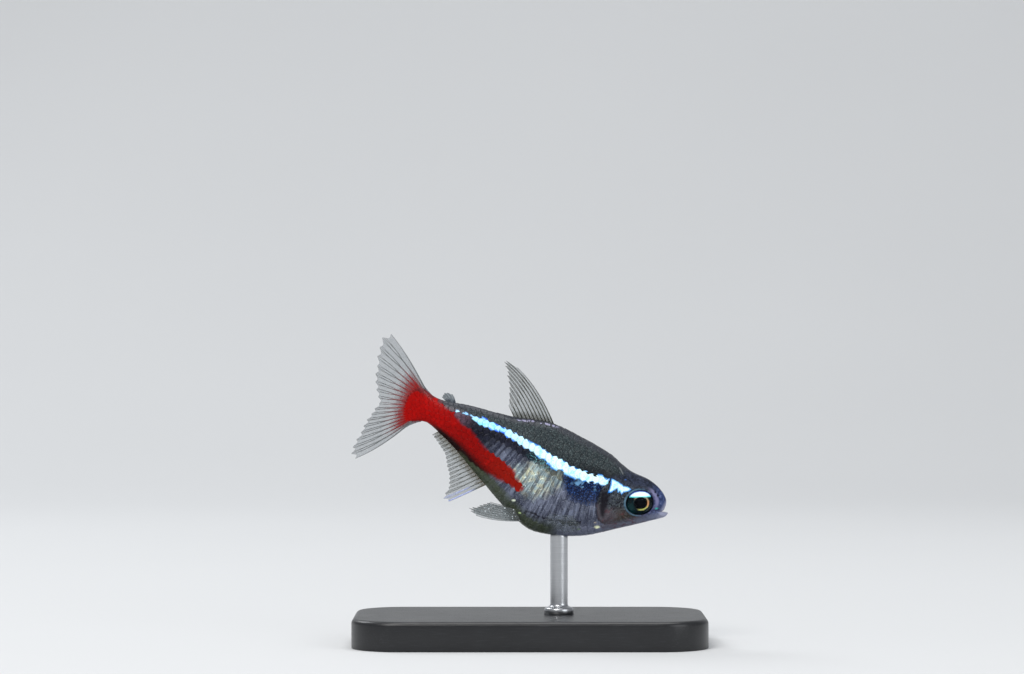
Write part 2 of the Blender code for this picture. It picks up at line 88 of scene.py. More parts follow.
# How far the upper lip comes down, the shares of the mouth's line and the stations where that fades, and
# the least that counts
LIP_DROP, LIP_FRONT, LIP_FADE, LIP_SLACK = 0.25, (-0.08, 0.28), (0.03, 0.5), 0.015
# Inside the mouth: upper, lower and side points of each ring, and the ring's half-width
MOUTH_RINGS = [
    ((0.7, -0.88), (0.6, -0.98), (0.98, -1.04), 0.42),
    ((0.14, -0.6), (-0.26, -0.74), (0.92, -1), 0.6),
]
# Where the tail's flesh thins out between the rays: how far on, its heights, and half its width
TAIL_ROOT = [(0.25, 1.4, -2.2, 0.16), (0.55, 0.95, -1.8, 0.11), (0.8, 0.4, -1.1, 0.05)]
TAIL_MIDDLE, TAIL_KEELS = -0.25, (0.8, 0.8)
SKIN_TURNS = np.linspace(-math.pi, math.pi, 240, endpoint=False) + math.pi / 2
# Rings of the skin: in the mouth to each stage, round the lips, on the face, to the gills, and behind them
MOUTH_STEPS, LIP_RINGS, FACE_RINGS, GILL_RINGS, BODY_RINGS, FINE_LENGTH = 7, 8, 72, 90, 130, 8

# Eyes and nostrils
EYE_BEHIND, EYE_BELOW, EYE_ASIDE = 2.67, 0.77, 1.24
EYE_HALF_LENGTH, EYE_HALF_HEIGHT, EYE_HALF_THICKNESS = 1.45, 1.23, 0.64
EYE_FORWARD, EYE_TILT = math.radians(18), math.radians(22.5)
EYE_SQUARENESS, PUPIL_SHARE, SOCKET_DEPTH, SOCKET_EDGE = 2.2, 0.475, 0.15, (0.985, 1.055)
# The iris from its back to its front, and the rim of the hole for the pupil, as shares of the eye's size and
# distances out; the share of the clear front's bulge that the iris has, and how far it lies under that
IRIS_BACK = [(0.25, -0.5), (0.7, -0.42), (0.93, -0.22), (0.985, -0.04), (0.975, 0.05)]
PUPIL_HOLE = [(0.5, 0.38), (0.485, 0.34), (0.47, 0.24)]
IRIS_BULGE, IRIS_UNDER = 0.78, 0.03
NOSTRILS, NOSTRIL_RADIUS = [(1.12, 0.62), (1.5, 0.86)], 0.15

# Forms of the head, seen from the side
GILL_MARGIN = [(5.4, 4.2), (5.7, 2.2), (6.2, 0.9), (6.75, -0.2), (6.9, -1.4), (6.65, -2.7), (6, -3.9),
               (5.1, -4.8), (4.2, -6)]
GILL_COVER = [(4.75, -0.3), (5.6, 0.05), (6.35, -0.1), (6.85, -1.2), (6.6, -2.7), (6, -3.8), (5.35, -4.2),
              (4.85, -3.7), (4.5, -2.5), (4.45, -1.2)]
CHEEK_EDGE = [(4.3, 0.35), (4.45, -0.7), (4.4, -1.9), (4.0, -2.8), (3.2, -3.2), (2.3, -2.75)]
JAW_BONE = [(0.42, -0.55), (0.9, -1.0), (1.3, -1.5), (1.45, -1.85)]
THROAT_FOLDS = [[(2.2, -2.95), (3.6, -3.75), (5.2, -4.75)], [(2.6, -3.0), (3.9, -3.55), (5.5, -4.45)]]
COVER_RISE, COVER_GROOVE, COVER_REAR = 0.14, 0.13, (4.9, 5.8)
# Round the eye: where its rim and the fold below it run, in shares of its size, how far they stand out or in,
# half their breadth, and where the fold comes in down the cheek
EYE_RIM, RIM_OUT, RIM_HALF = 1.1, 0.05, 0.06
EYE_FOLD, FOLD_IN, FOLD_HALF, FOLD_DOWN = 1.52, 0.03, 0.045, (1.2, 2.2)
NOSTRIL_DEPTH, NOSTRIL_RIM = 0.16, 0.03

# Markings, seen from the side
STRIPE = [(6.42, 0.36), (7.4, 0.4), (8.4, 0.06), (9.53, 0.04), (10.71, 0.21), (11.87, 0.34), (13.07, 0.56),
          (14.25, 0.74), (16.53, 0.9), (18.81, 1.06), (21.05, 1.13), (22.0, 1.0), (22.1, 0.7),
          (20.72, 0.38), (18.56, 0.45), (17.4, 0.32), (16.2, 0.1), (15, -0.13), (13.7, -0.58),
          (12.48, -0.85), (11.32, -0.98), (10.2, -1.02), (9.04, -1.12), (8.08, -0.76), (7.08, -0.48),
          (6.42, -0.28)]
STRIPE_ON_COVER = [(6.27, 0.44), (5.47, 0.38), (4.83, 0.21), (4.29, 0.29), (3.96, 0.15), (4.12, -0.12),
                   (4.57, -0.39), (4.71, -0.76), (5.0, -0.45), (5.14, -0.69), (5.36, -0.32), (5.56, -0.58),
                   (5.77, -0.92), (6.09, -1.08), (6.09, -0.52), (6.21, 0.14)]
STRIPE_ENDS = [[(22.2, 0.72), (22.35, 0.95), (22.85, 0.92), (22.95, 0.75), (22.5, 0.62)],
               [(23.1, 0.66), (23.2, 0.82), (23.5, 0.8), (23.52, 0.62), (23.25, 0.58)]]
RED = [(28.5, 0.5), (27.6, 0.9), (26.52, 0.97), (25.38, 0.89), (24.12, 0.52), (22.75, -0.13), (21.41, -0.68),
       (20.07, -1.23), (18.74, -1.79), (17.48, -2.15), (16.49, -2.4), (15.96, -2.63), (15.23, -3.32),
       (14.73, -3.45), (14.12, -3.86), (14.1, -4.18), (14.66, -4.41), (15.24, -4.1), (16.64, -4.18),
       (18.98, -3.88), (20.24, -3.55), (21.5, -3.2), (22.8, -2.95), (24.1, -2.5), (25.4, -2.3), (28.4, -2.8)]
SILVER = [(15.9, -2.4), (14.2, -1.3), (12.6, -1.1), (11.2, -1.2), (10.9, -1.9), (11.3, -2.9), (12.3, -3.8),
          (13.6, -4.6), (14.4, -4.2), (15.4, -3.4)]
NAVY = [(10.9, -1.1), (10.4, -2.2), (9.3, -3), (7.6, -2.9), (6.6, -2.3), (6.4, -0.6), (8, -0.8), (9.5, -1.1)]
GILL_SHADE = [(6.75, -1.2), (6.5, -2.4), (6, -3.4), (5.5, -3.5), (5.6, -2.5), (5.75, -1.4), (6.2, -1)]
BELLY_DOTS = [(13.3, -6.2), (10.2, -5.78), (7.4, -5.05)]
# A pale painted sheen lies along this line on the nape
NAPE_SHEEN = [(5.95, 1.78), (5.6, 1.5), (5.35, 1.28)]
# Painted highlights that glow, but for the last one, a blue spot of the skin that glows as well
# Small bright spots: how far behind the snout, how high, half their length, and their colour
GLINTS = [
    (5.72, -4.74, 0.34, (250, 255, 214)),
    (6.07, -4.37, 0.16, (176, 164, 150)),
    (7.34, -5.64, 0.2, (150, 176, 150)),
    (14.61, -5.46, 0.26, (226, 236, 214)),
    (13.54, -6.41, 0.18, (214, 240, 170)),
    (0.8, -0.68, 0.2, (30, 170, 150)),
    (4.89, 0.85, 0.14, (52, 92, 160)),
]
GLINT_SLIMNESS, GLINT_DIMNESS = 0.55, 900
STRIPE_MIDDLE = [(2, 0.2), (5, 0.1), (8, -0.2), (10, -0.45), (14, 0.15), (18, 0.72), (21, 0.78), (25, 0.3),
                 (29, -0.2)]
# The streaks of the ribs fan out from the upright one, and spread as they go up and down from a level
UPRIGHT_RIB, RIB_LEVEL, RIB_FAN = 10.5, -2.5, 0.06

# Where colours come in: nil at the first number, full at the second. Along the body, behind the snout:
DARK_NAPE, SILVER_BELLY, OLIVE_EDGE, PALE_THROAT = (15, 7), (20.5, 16.5), (8, 10.5), (10.5, 8)
NAVY_SHINE, STRIPE_TURNS_BLUE, STRIPE_END = (10.4, 9.2), (12, 20), (20.4, 21.6)
REAR_TINT, REAR_FLUSH, RED_DEEPENS, RED_BRIGHTENS = (21, 23.4), (24.6, 26.6), (15.5, 21), (21, 26)
# Of these, the first is where painted shade comes in under the red band, towards the tail
RED_SHADE_ALONG, SNOUT_BLUE, EYE_FRONT, RIM_REAR = (26, 24.2), (2.5, 0.8), (2.6, 1.6), (2.4, 3.6)
TAN_CHEEK, LILAC_CHEEK, PALE_LIPS = (5.2, 4), (3.8, 4.8), (0.42, 0.02)
# From the stripe's middle line up or down:
BACK_UP, DARK_BAND, BELLY_DOWN, SPARKS_DOWN = (-0.3, 0.5), (1.6, 0.5), (-0.8, -2.2), (0.2, -0.3)
REAR_TINT_DOWN = (0.6, -0.2)
# Up or down on the head:
HEAD_TOP, TAN_CHEEK_DOWN, LILAC_CHEEK_DOWN, BLUSH_DOWN = (-0.4, 0.9), (-1.6, -2.6), (-2.0, -3.0), (-1.8, -2.8)
CRESCENT_UP = (-1.2, 0.1)
# From the edges of back and belly, and from those of the markings:
RIDGE, DASHES_OUT, DASHES_IN, LOW_EDGE, CHIN = (0.9, 0.1), (0.12, 0.18), (0.29, 0.22), (1.7, 0.8), (1.3, 0.3)
SILVER_EDGE, NAVY_EDGE, GILL_EDGE, RED_EDGE = (-0.7, 0.6), (-0.4, 0.4), (-0.2, 0.3), (-0.16, 0.16)
STRIPE_EDGE, STRIPE_CORE, DOT_EDGE, NAPE_SHEEN_EDGE = (-0.04, 0.05), (0, 0.2), (0.3, 0.1), (0.1, 0)
NAVY_SHINE_NEAR, SPARKS_NEAR, FLUSH_NEAR = (-0.8, -0.3), (-1.1, -0.1), (-1.5, -0.2)
# Stretches of the body, from where they start over where they are full to where they end:
DORSAL_FOOT, SPARKS = (13, 13.6, 17.4, 18), (12, 13, 14.4, 15.6)
# Down the body's girth, from 1 at the back to -1 at the belly, where painted shade darkens the red band's
# underside:
RED_SHADE_GIRTH = (-0.6, -0.84)
# Round the eye, in shares of its size: the rim's breadth, and where the crescent before it runs
RIM_BREADTH, CRESCENT, CRESCENT_BREADTH = (0.12, 0.02), 1.3, (0.2, 0.05)

# Scales: where their middle row runs, and how far apart they are along the body and across it, by the
# distance behind the snout
SCALE_ROWS = [(5, 0.1), (10, -0.4), (14, 0.15), (18, 0.62), (22, 0.55), (25, 0), (28.5, -0.3)]
SCALE_PITCH = [(4, 0.6), (10, 0.66), (20, 0.62), (28.5, 0.46)]
ROW_PITCH = [(4, 0.74), (8, 0.84), (12, 0.88), (20, 0.66), (26, 0.5), (28.5, 0.5)]
SCALE_OVERLAP, SCALE_SPREAD, SCALE_THICKNESS = 1.7, 0.66, 0.014
SCALE_ROOT_DEPTH, SCALE_TILT, SKIN_INSET, SKIN_SINKS = 0.02, 0.042, 0.03, (4, 6)
SCALE_ALONG, SCALE_ACROSS, SCALE_DOME = 8, 9, 0.01
# How a scale's outline rounds off, and how much its place, size and tilt vary
SCALE_ROUNDING, SCALE_ROUNDNESS, SCALE_NARROWING = 0.42, 2.4, 0.25
PLACE_SPREAD, SIZE_SPREAD, TILT_SPREAD = 0.03, 0.04, 0.006
SCALE_ROWS_LOW, SCALE_ROWS_HIGH, FIRST_SCALE, LAST_SCALE = -12, 9, 4.6, BODY_END - 0.5
SCALES_FLATTEN, FLANK_END, SCALE_MIDDLE = (25.5, 27.5), BODY_END - 0.02, 0.68
# How far a scale's markings follow its middle instead of each point of it
WHOLE_SCALE = 0.35
# The coat's map: each scale's patch, the margin round them all, and the length of the body that fills it
COAT_PATCH, COAT_MARGIN, COAT_LENGTH = 0.003, 0.05, 32

# Fins: how many rays; where the first and the last one root, along the back, or below along the belly, or at
# heights on the flank, or on the edge of the tail's root; how deep they are sunk; by ray number, how long
# rays are and the angles at which they leave and end; how far a fin leans out, how thick its rays are, how
# its first ray tapers, and whether rays fork. All are as the solids have them but for the short rays in the
# corners between the body and the tail fin, which belong to the tail fin.
FINS = {
    "dorsal_fin": {
        "rays": 11, "roots": (13.3, 17.3),
        "lengths": {0: 7.8, 1: 8.7, 2: 8.3, 5: 6, 10: 2}, "leave": {0: 46, 10: 44}, "end": {0: 16, 10: 4},
    },
    "adipose_fin": {
        "rays": 5, "roots": (23.75, 24.5), "sunk": 0.3, "thick": 0.6,
        "lengths": {0: 1.25, 1: 1.5, 2: 1.5, 4: 1}, "leave": {0: 62, 4: 30}, "end": {0: 20, 4: 12},
    },
    "anal_fin": {
        "rays": 18, "roots": (17.55, 24), "below": True, "lead": (1.3, 1),
        "lengths": {0: 4.7, 1: 5, 3: 3.8, 5: 3.1, 7: 2.6, 11: 1.75, 17: 1.3},
        "leave": {0: -48, 17: -50}, "end": {0: -46, 17: -30},
    },
    "tail_fin": {
        "rays": 19, "edge": (1.5, -2.1),
        "lengths": {0: 6.9, 1: 7.2, 4: 5.7, 9: 4.1, 14: 6, 17: 7.5, 18: 7.1},
        "leave": {0: 40, 9: -20, 18: -63}, "end": {0: 26, 9: -22, 18: -44},
    },
    "pectoral_fin": {
        "rays": 10, "roots": (6.4, 6.7), "heights": (-4.3, -5.2), "lean": 19, "thick": 0.6,
        "lengths": {0: 4.9, 2: 5.3, 9: 2.4}, "leave": {0: -8, 9: -40}, "end": {0: -22, 9: -26},
    },
    "pelvic_fin": {
        "rays": 8, "roots": (12.9, 13.9), "heights": (-7.05, -6.2), "lean": 9, "thick": 0.6,
        "lengths": {0: 5.1, 1: 5.7, 7: 2.9}, "leave": {0: -24, 7: -12}, "end": {0: 2, 7: 6},
    },
    "tail_corner_top": {
        "rays": 6, "roots": (25.9, 26.9), "sunk": 0.3, "thick": 0.6, "forked": False, "node": "tail_fin",
        "lengths": {0: 0.66, 5: 1.75}, "leave": {0: 34, 5: 45}, "end": {0: 28, 5: 42},
    },
    "tail_corner_low": {
        "rays": 6, "roots": (26.1, 27.3), "sunk": 0.3, "thick": 0.6, "forked": False, "node": "tail_fin",
        "below": True, "lengths": {0: 0.66, 5: 2.1}, "leave": {0: -53, 5: -66}, "end": {0: -50, 5: -62},
    },
}
ROOT_SUNK, FIN_SWAY = 0.6, 0.09
WEB_HALF, WEB_EDGE_HALF, WEB_PLEAT, WEB_SCALLOP = 0.02, 0.006, 0.035, 0.05
RAY_RADIUS, RAY_TIP_RADIUS, RAY_DEPTH, RAY_SIDES = 0.075, 0.016, 1.15, 6
# Where rays fork, how far their branches part in ray numbers, and how plain rays, stems, branches and twigs
# taper, with the rings of each
FIRST_FORK, SECOND_FORK, FIRST_SPREAD, SECOND_SPREAD = (0.42, 0.55), (0.7, 0.8), 0.17, 0.1
PLAIN_TAPER, STEM_TAPER, BRANCH_TAPER, TWIG_TAPER = (1, 0.25), (1, 0.72), (0.6, 0.48), (0.4, 0.2)
PLAIN_RINGS, STEM_RINGS, BRANCH_RINGS, TWIG_RINGS = 26, 16, 9, 8
TABLE_ROWS, TABLE_COLUMNS, WEB_ROWS, WEB_COLUMNS = 61, 8, 26, 6
# Freckles of the webs: their colour, how many to a millimetre, and their size
DARK_FRECKLES, PALE_FRECKLES = ((30, 32, 34), 7, 0.16), ((236, 244, 250), 3.6, 0.34)

# The photo's view; the snout's place is how far ahead and up it is in millimetres
PHOTO_WIDTH, PIXELS_PER_MM = 1024, 9.78
SNOUT_PIXEL, SNOUT_PLACE = (666, 505), (13.94, 14.15)
VIEW_MIDDLE_PIXEL = (512, 337)
CAMERA_DISTANCE, SENSOR_WIDTH = 350, 36

# The studio, in metres: its floor and wall, and each lamp's name, place, size, watts and colour
FLOOR_REACH, FLOOR_DEPTH, WALL_BEND, WALL_HEIGHT = 2, 0.3, 0.35, 1.4
LAMPS_AIM = Vector((0, 0, 16 * MM))
LAMPS = [
    ("key", (-0.22, -0.42, 0.5), 0.3, 2.6, (1, 0.985, 0.96)),
    ("fill", (0.45, -0.4, 0.2), 0.4, 1.0, (0.95, 0.98, 1)),
    ("top", (0.05, 0.05, 0.7), 0.5, 2.4, (1, 1, 1)),
    ("back", (-0.3, 0.28, 0.35), 0.2, 0.7, (0.96, 0.98, 1)),
]
AIR_COLOUR, AIR_STRENGTH = (0.92, 0.95, 1, 1), 0.35


def bend(one, leave, other, arrive, f):
    """A smooth way from one point to another, by how it leaves the one and arrives at the other."""
    return (
        (2 * f**3 - 3 * f**2 + 1) * one
        + (f**3 - 2 * f**2 + f) * leave
        + (3 * f**2 - 2 * f**3) * other
        + (f**3 - f**2) * arrive
    )


def smooth_line(stations):
    """A smooth line through a few stations, as a function of the distance behind the snout."""
    knots = np.array(stations, float)
    chord = np.concatenate([[0], np.cumsum(np.hypot(*np.diff(knots, axis=0).T))])
    slope = np.gradient(knots, chord, axis=0)
    along = np.linspace(0, chord[-1], 600)
    i = np.clip(np.searchsorted(chord, along, side="right") - 1, 0, len(chord) - 2)
    step = (chord[i + 1] - chord[i])[:, None]
    share = (along - chord[i])[:, None] / step
    fine = bend(knots[i], step * slope[i], knots[i + 1], step * slope[i + 1], share)
    return lambda behind: np.interp(behind, fine[:, 0], fine[:, 1])


def read_table(table, i, j):
    """What a table holds between its rows and columns."""
    i, j = np.clip(i, 0, table.shape[0] - 1.001), np.clip(j, 0, table.shape[1] - 1.001)
    i0, j0 = i.astype(int), j.astype(int)
    fi, fj = i - i0, j - j0
    if table.ndim == 3:
        fi, fj = fi[..., None], fj[..., None]
    return (
        table[i0, j0] * (1 - fi) * (1 - fj)
        + table[i0 + 1, j0] * fi * (1 - fj)
        + table[i0, j0 + 1] * (1 - fi) * fj
        + table[i0 + 1, j0 + 1] * fi * fj
    )


def unit(vectors, least=1e-12):
    """Vectors made one long, apart from those that are next to nothing."""
    return vectors / (np.linalg.norm(vectors, axis=-1, keepdims=True) + least)


back, belly, widest, half_width = map(smooth_line, (BACK_LINE, BELLY_LINE, WIDEST_LINE, HALF_WIDTHS))
back_keel, belly_keel = smooth_line(BACK_KEEL), smooth_line(BELLY_KEEL)
stripe_middle, row_middle = smooth_line(STRIPE_MIDDLE), smooth_line(SCALE_ROWS)
scale_pitch, row_pitch = smooth_line(SCALE_PITCH), smooth_line(ROW_PITCH)


def swing(behind):
    """How far the tail swings to the fish's left at a distance behind the snout."""
    return TAIL_SWING * (np.maximum(behind - SWING_START, 0) / SWING_SPAN) ** 2


def rise(value, low, high):
    """0 below the low value, 1 above the high one, smooth between them."""
    share = np.clip((value - low) / (high - low), 0, 1)
    return share * share * (3 - 2 * share)


def eye_share(behind, height):
    """How far places seen from the side are from the middle of the eye: 1 at its edge."""
    ahead, up = (EYE_BEHIND - behind) / math.cos(EYE_FORWARD), height + EYE_BELOW
    level = ahead * math.cos(EYE_TILT) + up * math.sin(EYE_TILT)
    upright = up * math.cos(EYE_TILT) - ahead * math.sin(EYE_TILT)
    return np.hypot(level / EYE_HALF_LENGTH, upright / EYE_HALF_HEIGHT)


def outline_through(points, closed=True):
    """Points along a smooth curve through an outline, six to each of its spans."""
    knots = np.array(points, float)
    before, after = np.roll(knots, 1, 0), np.roll(knots, -1, 0)
    if not closed:
        before[0], after[-1] = knots[0], knots[-1]
    slope = (after - before) / 2
    fine = []
    for i in range(len(knots) if closed else len(knots) - 1):
        j = (i + 1) % len(knots)
        fine += [bend(knots[i], slope[i], knots[j], slope[j], share) for share in np.arange(6) / 6]
    return np.array(fine if closed else [*fine, knots[-1]])


def distance_to(line, behind, height, closed=False):
    """How far places are from a line of points."""
    ends = np.roll(line, -1, 0) if closed else line[1:]
    starts = line if closed else line[:-1]
    nearest = np.full(np.shape(behind), np.inf)
    for (s0, h0), (s1, h1) in zip(starts, ends):
        ds, dh = s1 - s0, h1 - h0
        share = np.clip(((behind - s0) * ds + (height - h0) * dh) / (ds * ds + dh * dh + 1e-12), 0, 1)
        nearest = np.minimum(nearest, np.hypot(behind - s0 - share * ds, height - h0 - share * dh))
    return nearest


def depth_in(outline, behind, height):
    """How deep places lie inside a closed outline, below zero outside it."""
    inside = np.zeros(np.shape(behind), bool)
    for (s0, h0), (s1, h1) in zip(outline, np.roll(outline, -1, 0)):
        crosses = (h0 > height) != (h1 > height)
        inside ^= crosses & (behind < s0 + (height - h0) * (s1 - s0) / (h1 - h0 if h1 != h0 else 1))
    away = distance_to(outline, behind, height, closed=True)
    return np.where(inside, away, -away)


cover_outline = outline_through(GILL_COVER)
cheek_edge = outline_through(CHEEK_EDGE, closed=False)
jaw_bone = outline_through(JAW_BONE, closed=False)
throat_folds = [outline_through(fold, closed=False) for fold in THROAT_FOLDS]
stripe_outlines = [np.array(part) for part in (STRIPE, STRIPE_ON_COVER, *STRIPE_ENDS)]
patch_outlines = [outline_through(part) for part in (RED, SILVER, NAVY, GILL_SHADE)]
faint_lines = [outline_through(line, closed=False) for line in (BELLY_DOTS, NAPE_SHEEN)]
# Ridges and folds of the head: the line, how far they stand out, and half their breadth
HEAD_LINES = [(cheek_edge, -0.035, 0.07), (jaw_bone, 0.04, 0.13)]
HEAD_LINES += [(fold, -0.03, 0.06) for fold in throat_folds]


def marks_at(behind, height):
    """What the finishes of skin and scales read: how deep a place lies in each marking."""
    stripe = np.max([depth_in(part, behind, height) for part in stripe_outlines], axis=0)
    red, silver, navy, shade = (depth_in(part, behind, height) for part in patch_outlines)
    dots, streak = (distance_to(line, behind, height) for line in faint_lines)
    marks = {
        "bright_marks": (stripe, red, silver),
        "dark_marks": (navy, shade, height - stripe_middle(behind)),
        "faint_marks": (dots, streak, eye_share(behind, height)),
        "edges": (height - belly(behind), back(behind) - height, np.zeros(len(behind))),
    }
    return {mark: np.column_stack(values) for mark, values in marks.items()}


# The pose of the fish, and how pieces are added
turned_down = Matrix.Rotation(NOSE_DOWN, 4, "Y")
seat = turned_down @ Vector((-ROD_BEHIND_SNOUT, 0, -ROD_BELOW_AXIS))
POSE = Matrix.Translation((Vector((ROD_X, 0, BASE_TOP + BELLY_ABOVE_BASE)) - seat) * MM) @ turned_down
UPRIGHT = Matrix.Identity(4)


def add_piece(name, points, faces, finish, replaced, marks=None, pose=POSE, coat_map=None):
    """One mesh piece in its pose, with its finish and the solids that it stands for."""
    mesh = bpy.data.meshes.new(name)
    mesh.from_pydata((np.asarray(points) * MM).tolist(), [], faces)
    mesh.shade_smooth()
    mesh.materials.append(finish)
    for mark, values in (marks or {}).items():
        layer = mesh.attributes.new(mark, "FLOAT_VECTOR", "POINT")
        layer.data.foreach_set("vector", np.asarray(values, np.float32).ravel())
    if coat_map is not None:
        corners = np.empty(len(mesh.loops), np.int32)
        mesh.loops.foreach_get("vertex_index", corners)
        layer = mesh.uv_layers.new(name="OFBake")
        layer.data.foreach_set("uv", np.asarray(coat_map, np.float32)[corners].ravel())
    piece = bpy.data.objects.new(name, mesh)
    bpy.context.scene.collection.objects.link(piece)
    piece.matrix_world = pose
    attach(piece, "root")
    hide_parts(*replaced)
    return piece


def grid_faces(rows, columns, start=0, round_again=False, flipped=False):
    """Faces of a grid of points, whose last column may join its first."""
    faces = []
    for i in range(rows - 1):
        for j in range(columns if round_again else columns - 1):
            k = (j + 1) % columns
            face = (i * columns + j, i * columns + k, (i + 1) * columns + k, (i + 1) * columns + j)
            faces.append(tuple(start + corner for corner in (face[::-1] if flipped else face)))
    return faces


def ring_faces(rings, points, start=0, flipped=False):
    """Faces round a stack of rings, closed at both ends."""
    last = start + (rings - 1) * points
    ends = [tuple(range(start + points - 1, start - 1, -1)), tuple(range(last, last + points))]
    if flipped:
        ends = [end[::-1] for end in ends]
    return grid_faces(rings, points, start, round_again=True, flipped=flipped) + ends


def plate_faces(rows, columns):
    """Faces of a plate: a grid for its top, one for its underside, and the rim between them."""
    low = rows * columns
    faces = grid_faces(rows, columns) + grid_faces(rows, columns, low, flipped=True)
    rim = (
        [(0, j) for j in range(columns)]
        + [(i, columns - 1) for i in range(1, rows)]
        + [(rows - 1, j) for j in range(columns - 2, -1, -1)]
        + [(i, 0) for i in range(rows - 2, 0, -1)]
    )
    for (i, j), (k, m) in zip(rim, rim[1:] + rim[:1]):
        one, other = i * columns + j, k * columns + m
        faces.append((other, one, low + one, low + other))
    return faces


BLACK = (0, 0, 0)


def tint(colour):
    """What a socket takes for a colour given as its three bytes in a picture; all else stays as it is."""
    if isinstance(colour, Share) or len(colour) == 4:
        return colour
    shares = (byte / 255 for byte in colour)
    return (*(share / 12.92 if share <= 0.04 else ((share + 0.055) / 1.055) ** 2.4 for share in shares), 1)


def operator(operation, swapped=False):
    """An operator of a Share: it adds a Math node."""

    def add_node(one, other=0):
        pair = (other, one) if swapped else (one, other)
        return one.paint.sum(operation, *pair)

    return add_node


class Share:
    """A socket in a material, which takes part in sums as a number does."""

    def __init__(self, paint, socket):
        self.paint, self.socket = paint, socket

    __add__ = __radd__ = operator("ADD")
    __mul__ = __rmul__ = operator("MULTIPLY")
    __sub__, __rsub__ = operator("SUBTRACT"), operator("SUBTRACT", swapped=True)
    __truediv__, __pow__, __abs__ = operator("DIVIDE"), operator("POWER"), operator("ABSOLUTE")

    def rise(self, low, high):
        """0 on the low side, 1 on the high side, smooth between them."""
        reach = {"Value": self, "From Min": low, "From Max": high}
        return self.paint.node("MapRange", {"interpolation_type": "SMOOTHSTEP"}, reach)


class Paint:
    """A material whose nodes are added one at a time."""

    def __init__(self, name):
        self.material = bpy.data.materials.new(name)
        self.material.use_nodes = True
        self.tree = self.material.node_tree
        self.tree.nodes.clear()

    def node(self, kind, settings=None, inputs=None, output=0):
        """Adds a node: its settings, then the values or links of its sockets. Gives one output, or all."""
        made = self.tree.nodes.new("ShaderNode" + kind)
        for setting, value in (settings or {}).items():
            setattr(made, setting, value)
        for socket, value in (inputs or {}).items():
            if isinstance(value, Share):
                self.tree.links.new(value.socket, made.inputs[socket])
            else:
                made.inputs[socket].default_value = value
        if output is None:
            return [Share(self, socket) for socket in made.outputs]
        return Share(self, made.outputs[output])

    def sum(self, operation, one, other):
        """A Math node."""
        return self.node("Math", {"operation": operation}, {0: one, 1: other})

    def mark(self, name):
        """The three numbers that a mesh holds under a name."""
        read = self.node("Attribute", {"attribute_type": "GEOMETRY", "attribute_name": name}, output=1)
        return self.node("SeparateXYZ", inputs={0: read}, output=None)

    def place(self):
        """Where on the fish a point lies, as a vector in millimetres."""
        return self.node("Attribute", {"attribute_type": "GEOMETRY", "attribute_name": "place"}, output=1)

    def stretched(self, vector, sizes):
        """A vector with each of its parts multiplied."""
        return self.node("VectorMath", {"operation": "MULTIPLY"}, {0: vector, 1: sizes})

    def speckle(self, vector, scale, detail=3, roughness=0.6):
        """Fine noise from 0 to 1."""
        how = {"Vector": vector, "Scale": scale, "Detail": detail, "Roughness": roughness}
        return self.node("TexNoise", inputs=how)

    def cells(self, vector, scale):
        """Distance to the middle of the nearest cell."""
        return self.node("TexVoronoi", inputs={"Vector": vector, "Scale": scale})

    def mix(self, share, one, other, blend="MIX"):
        """A colour between two others."""
        inputs = {0: share, 6: tint(one), 7: tint(other)}
        return self.node("Mix", {"data_type": "RGBA", "blend_type": blend}, inputs, 2)

    def layers(self, colour, *above):
        """A colour under layers, each with the share that it covers and its own colour."""
        for share, layer in above:
            colour = self.mix(share, colour, layer)
        return colour

    def bump(self, height, depth):
        """A normal from a height of 0 to 1, with its depth in millimetres."""
        return self.node("Bump", inputs={"Strength": 1, "Distance": depth * MM, "Height": height})

    def surface(self, **inputs):
        """Ends the material with a Principled shader."""
        named = {socket.replace("_", " "): value for socket, value in inputs.items()}
        return self.end(self.node("BsdfPrincipled", inputs=named))

    def end(self, shader):
        """Joins a shader to the material's output and gives the material."""
        self.node("OutputMaterial", inputs={0: shader}, output=None)
        return self.material


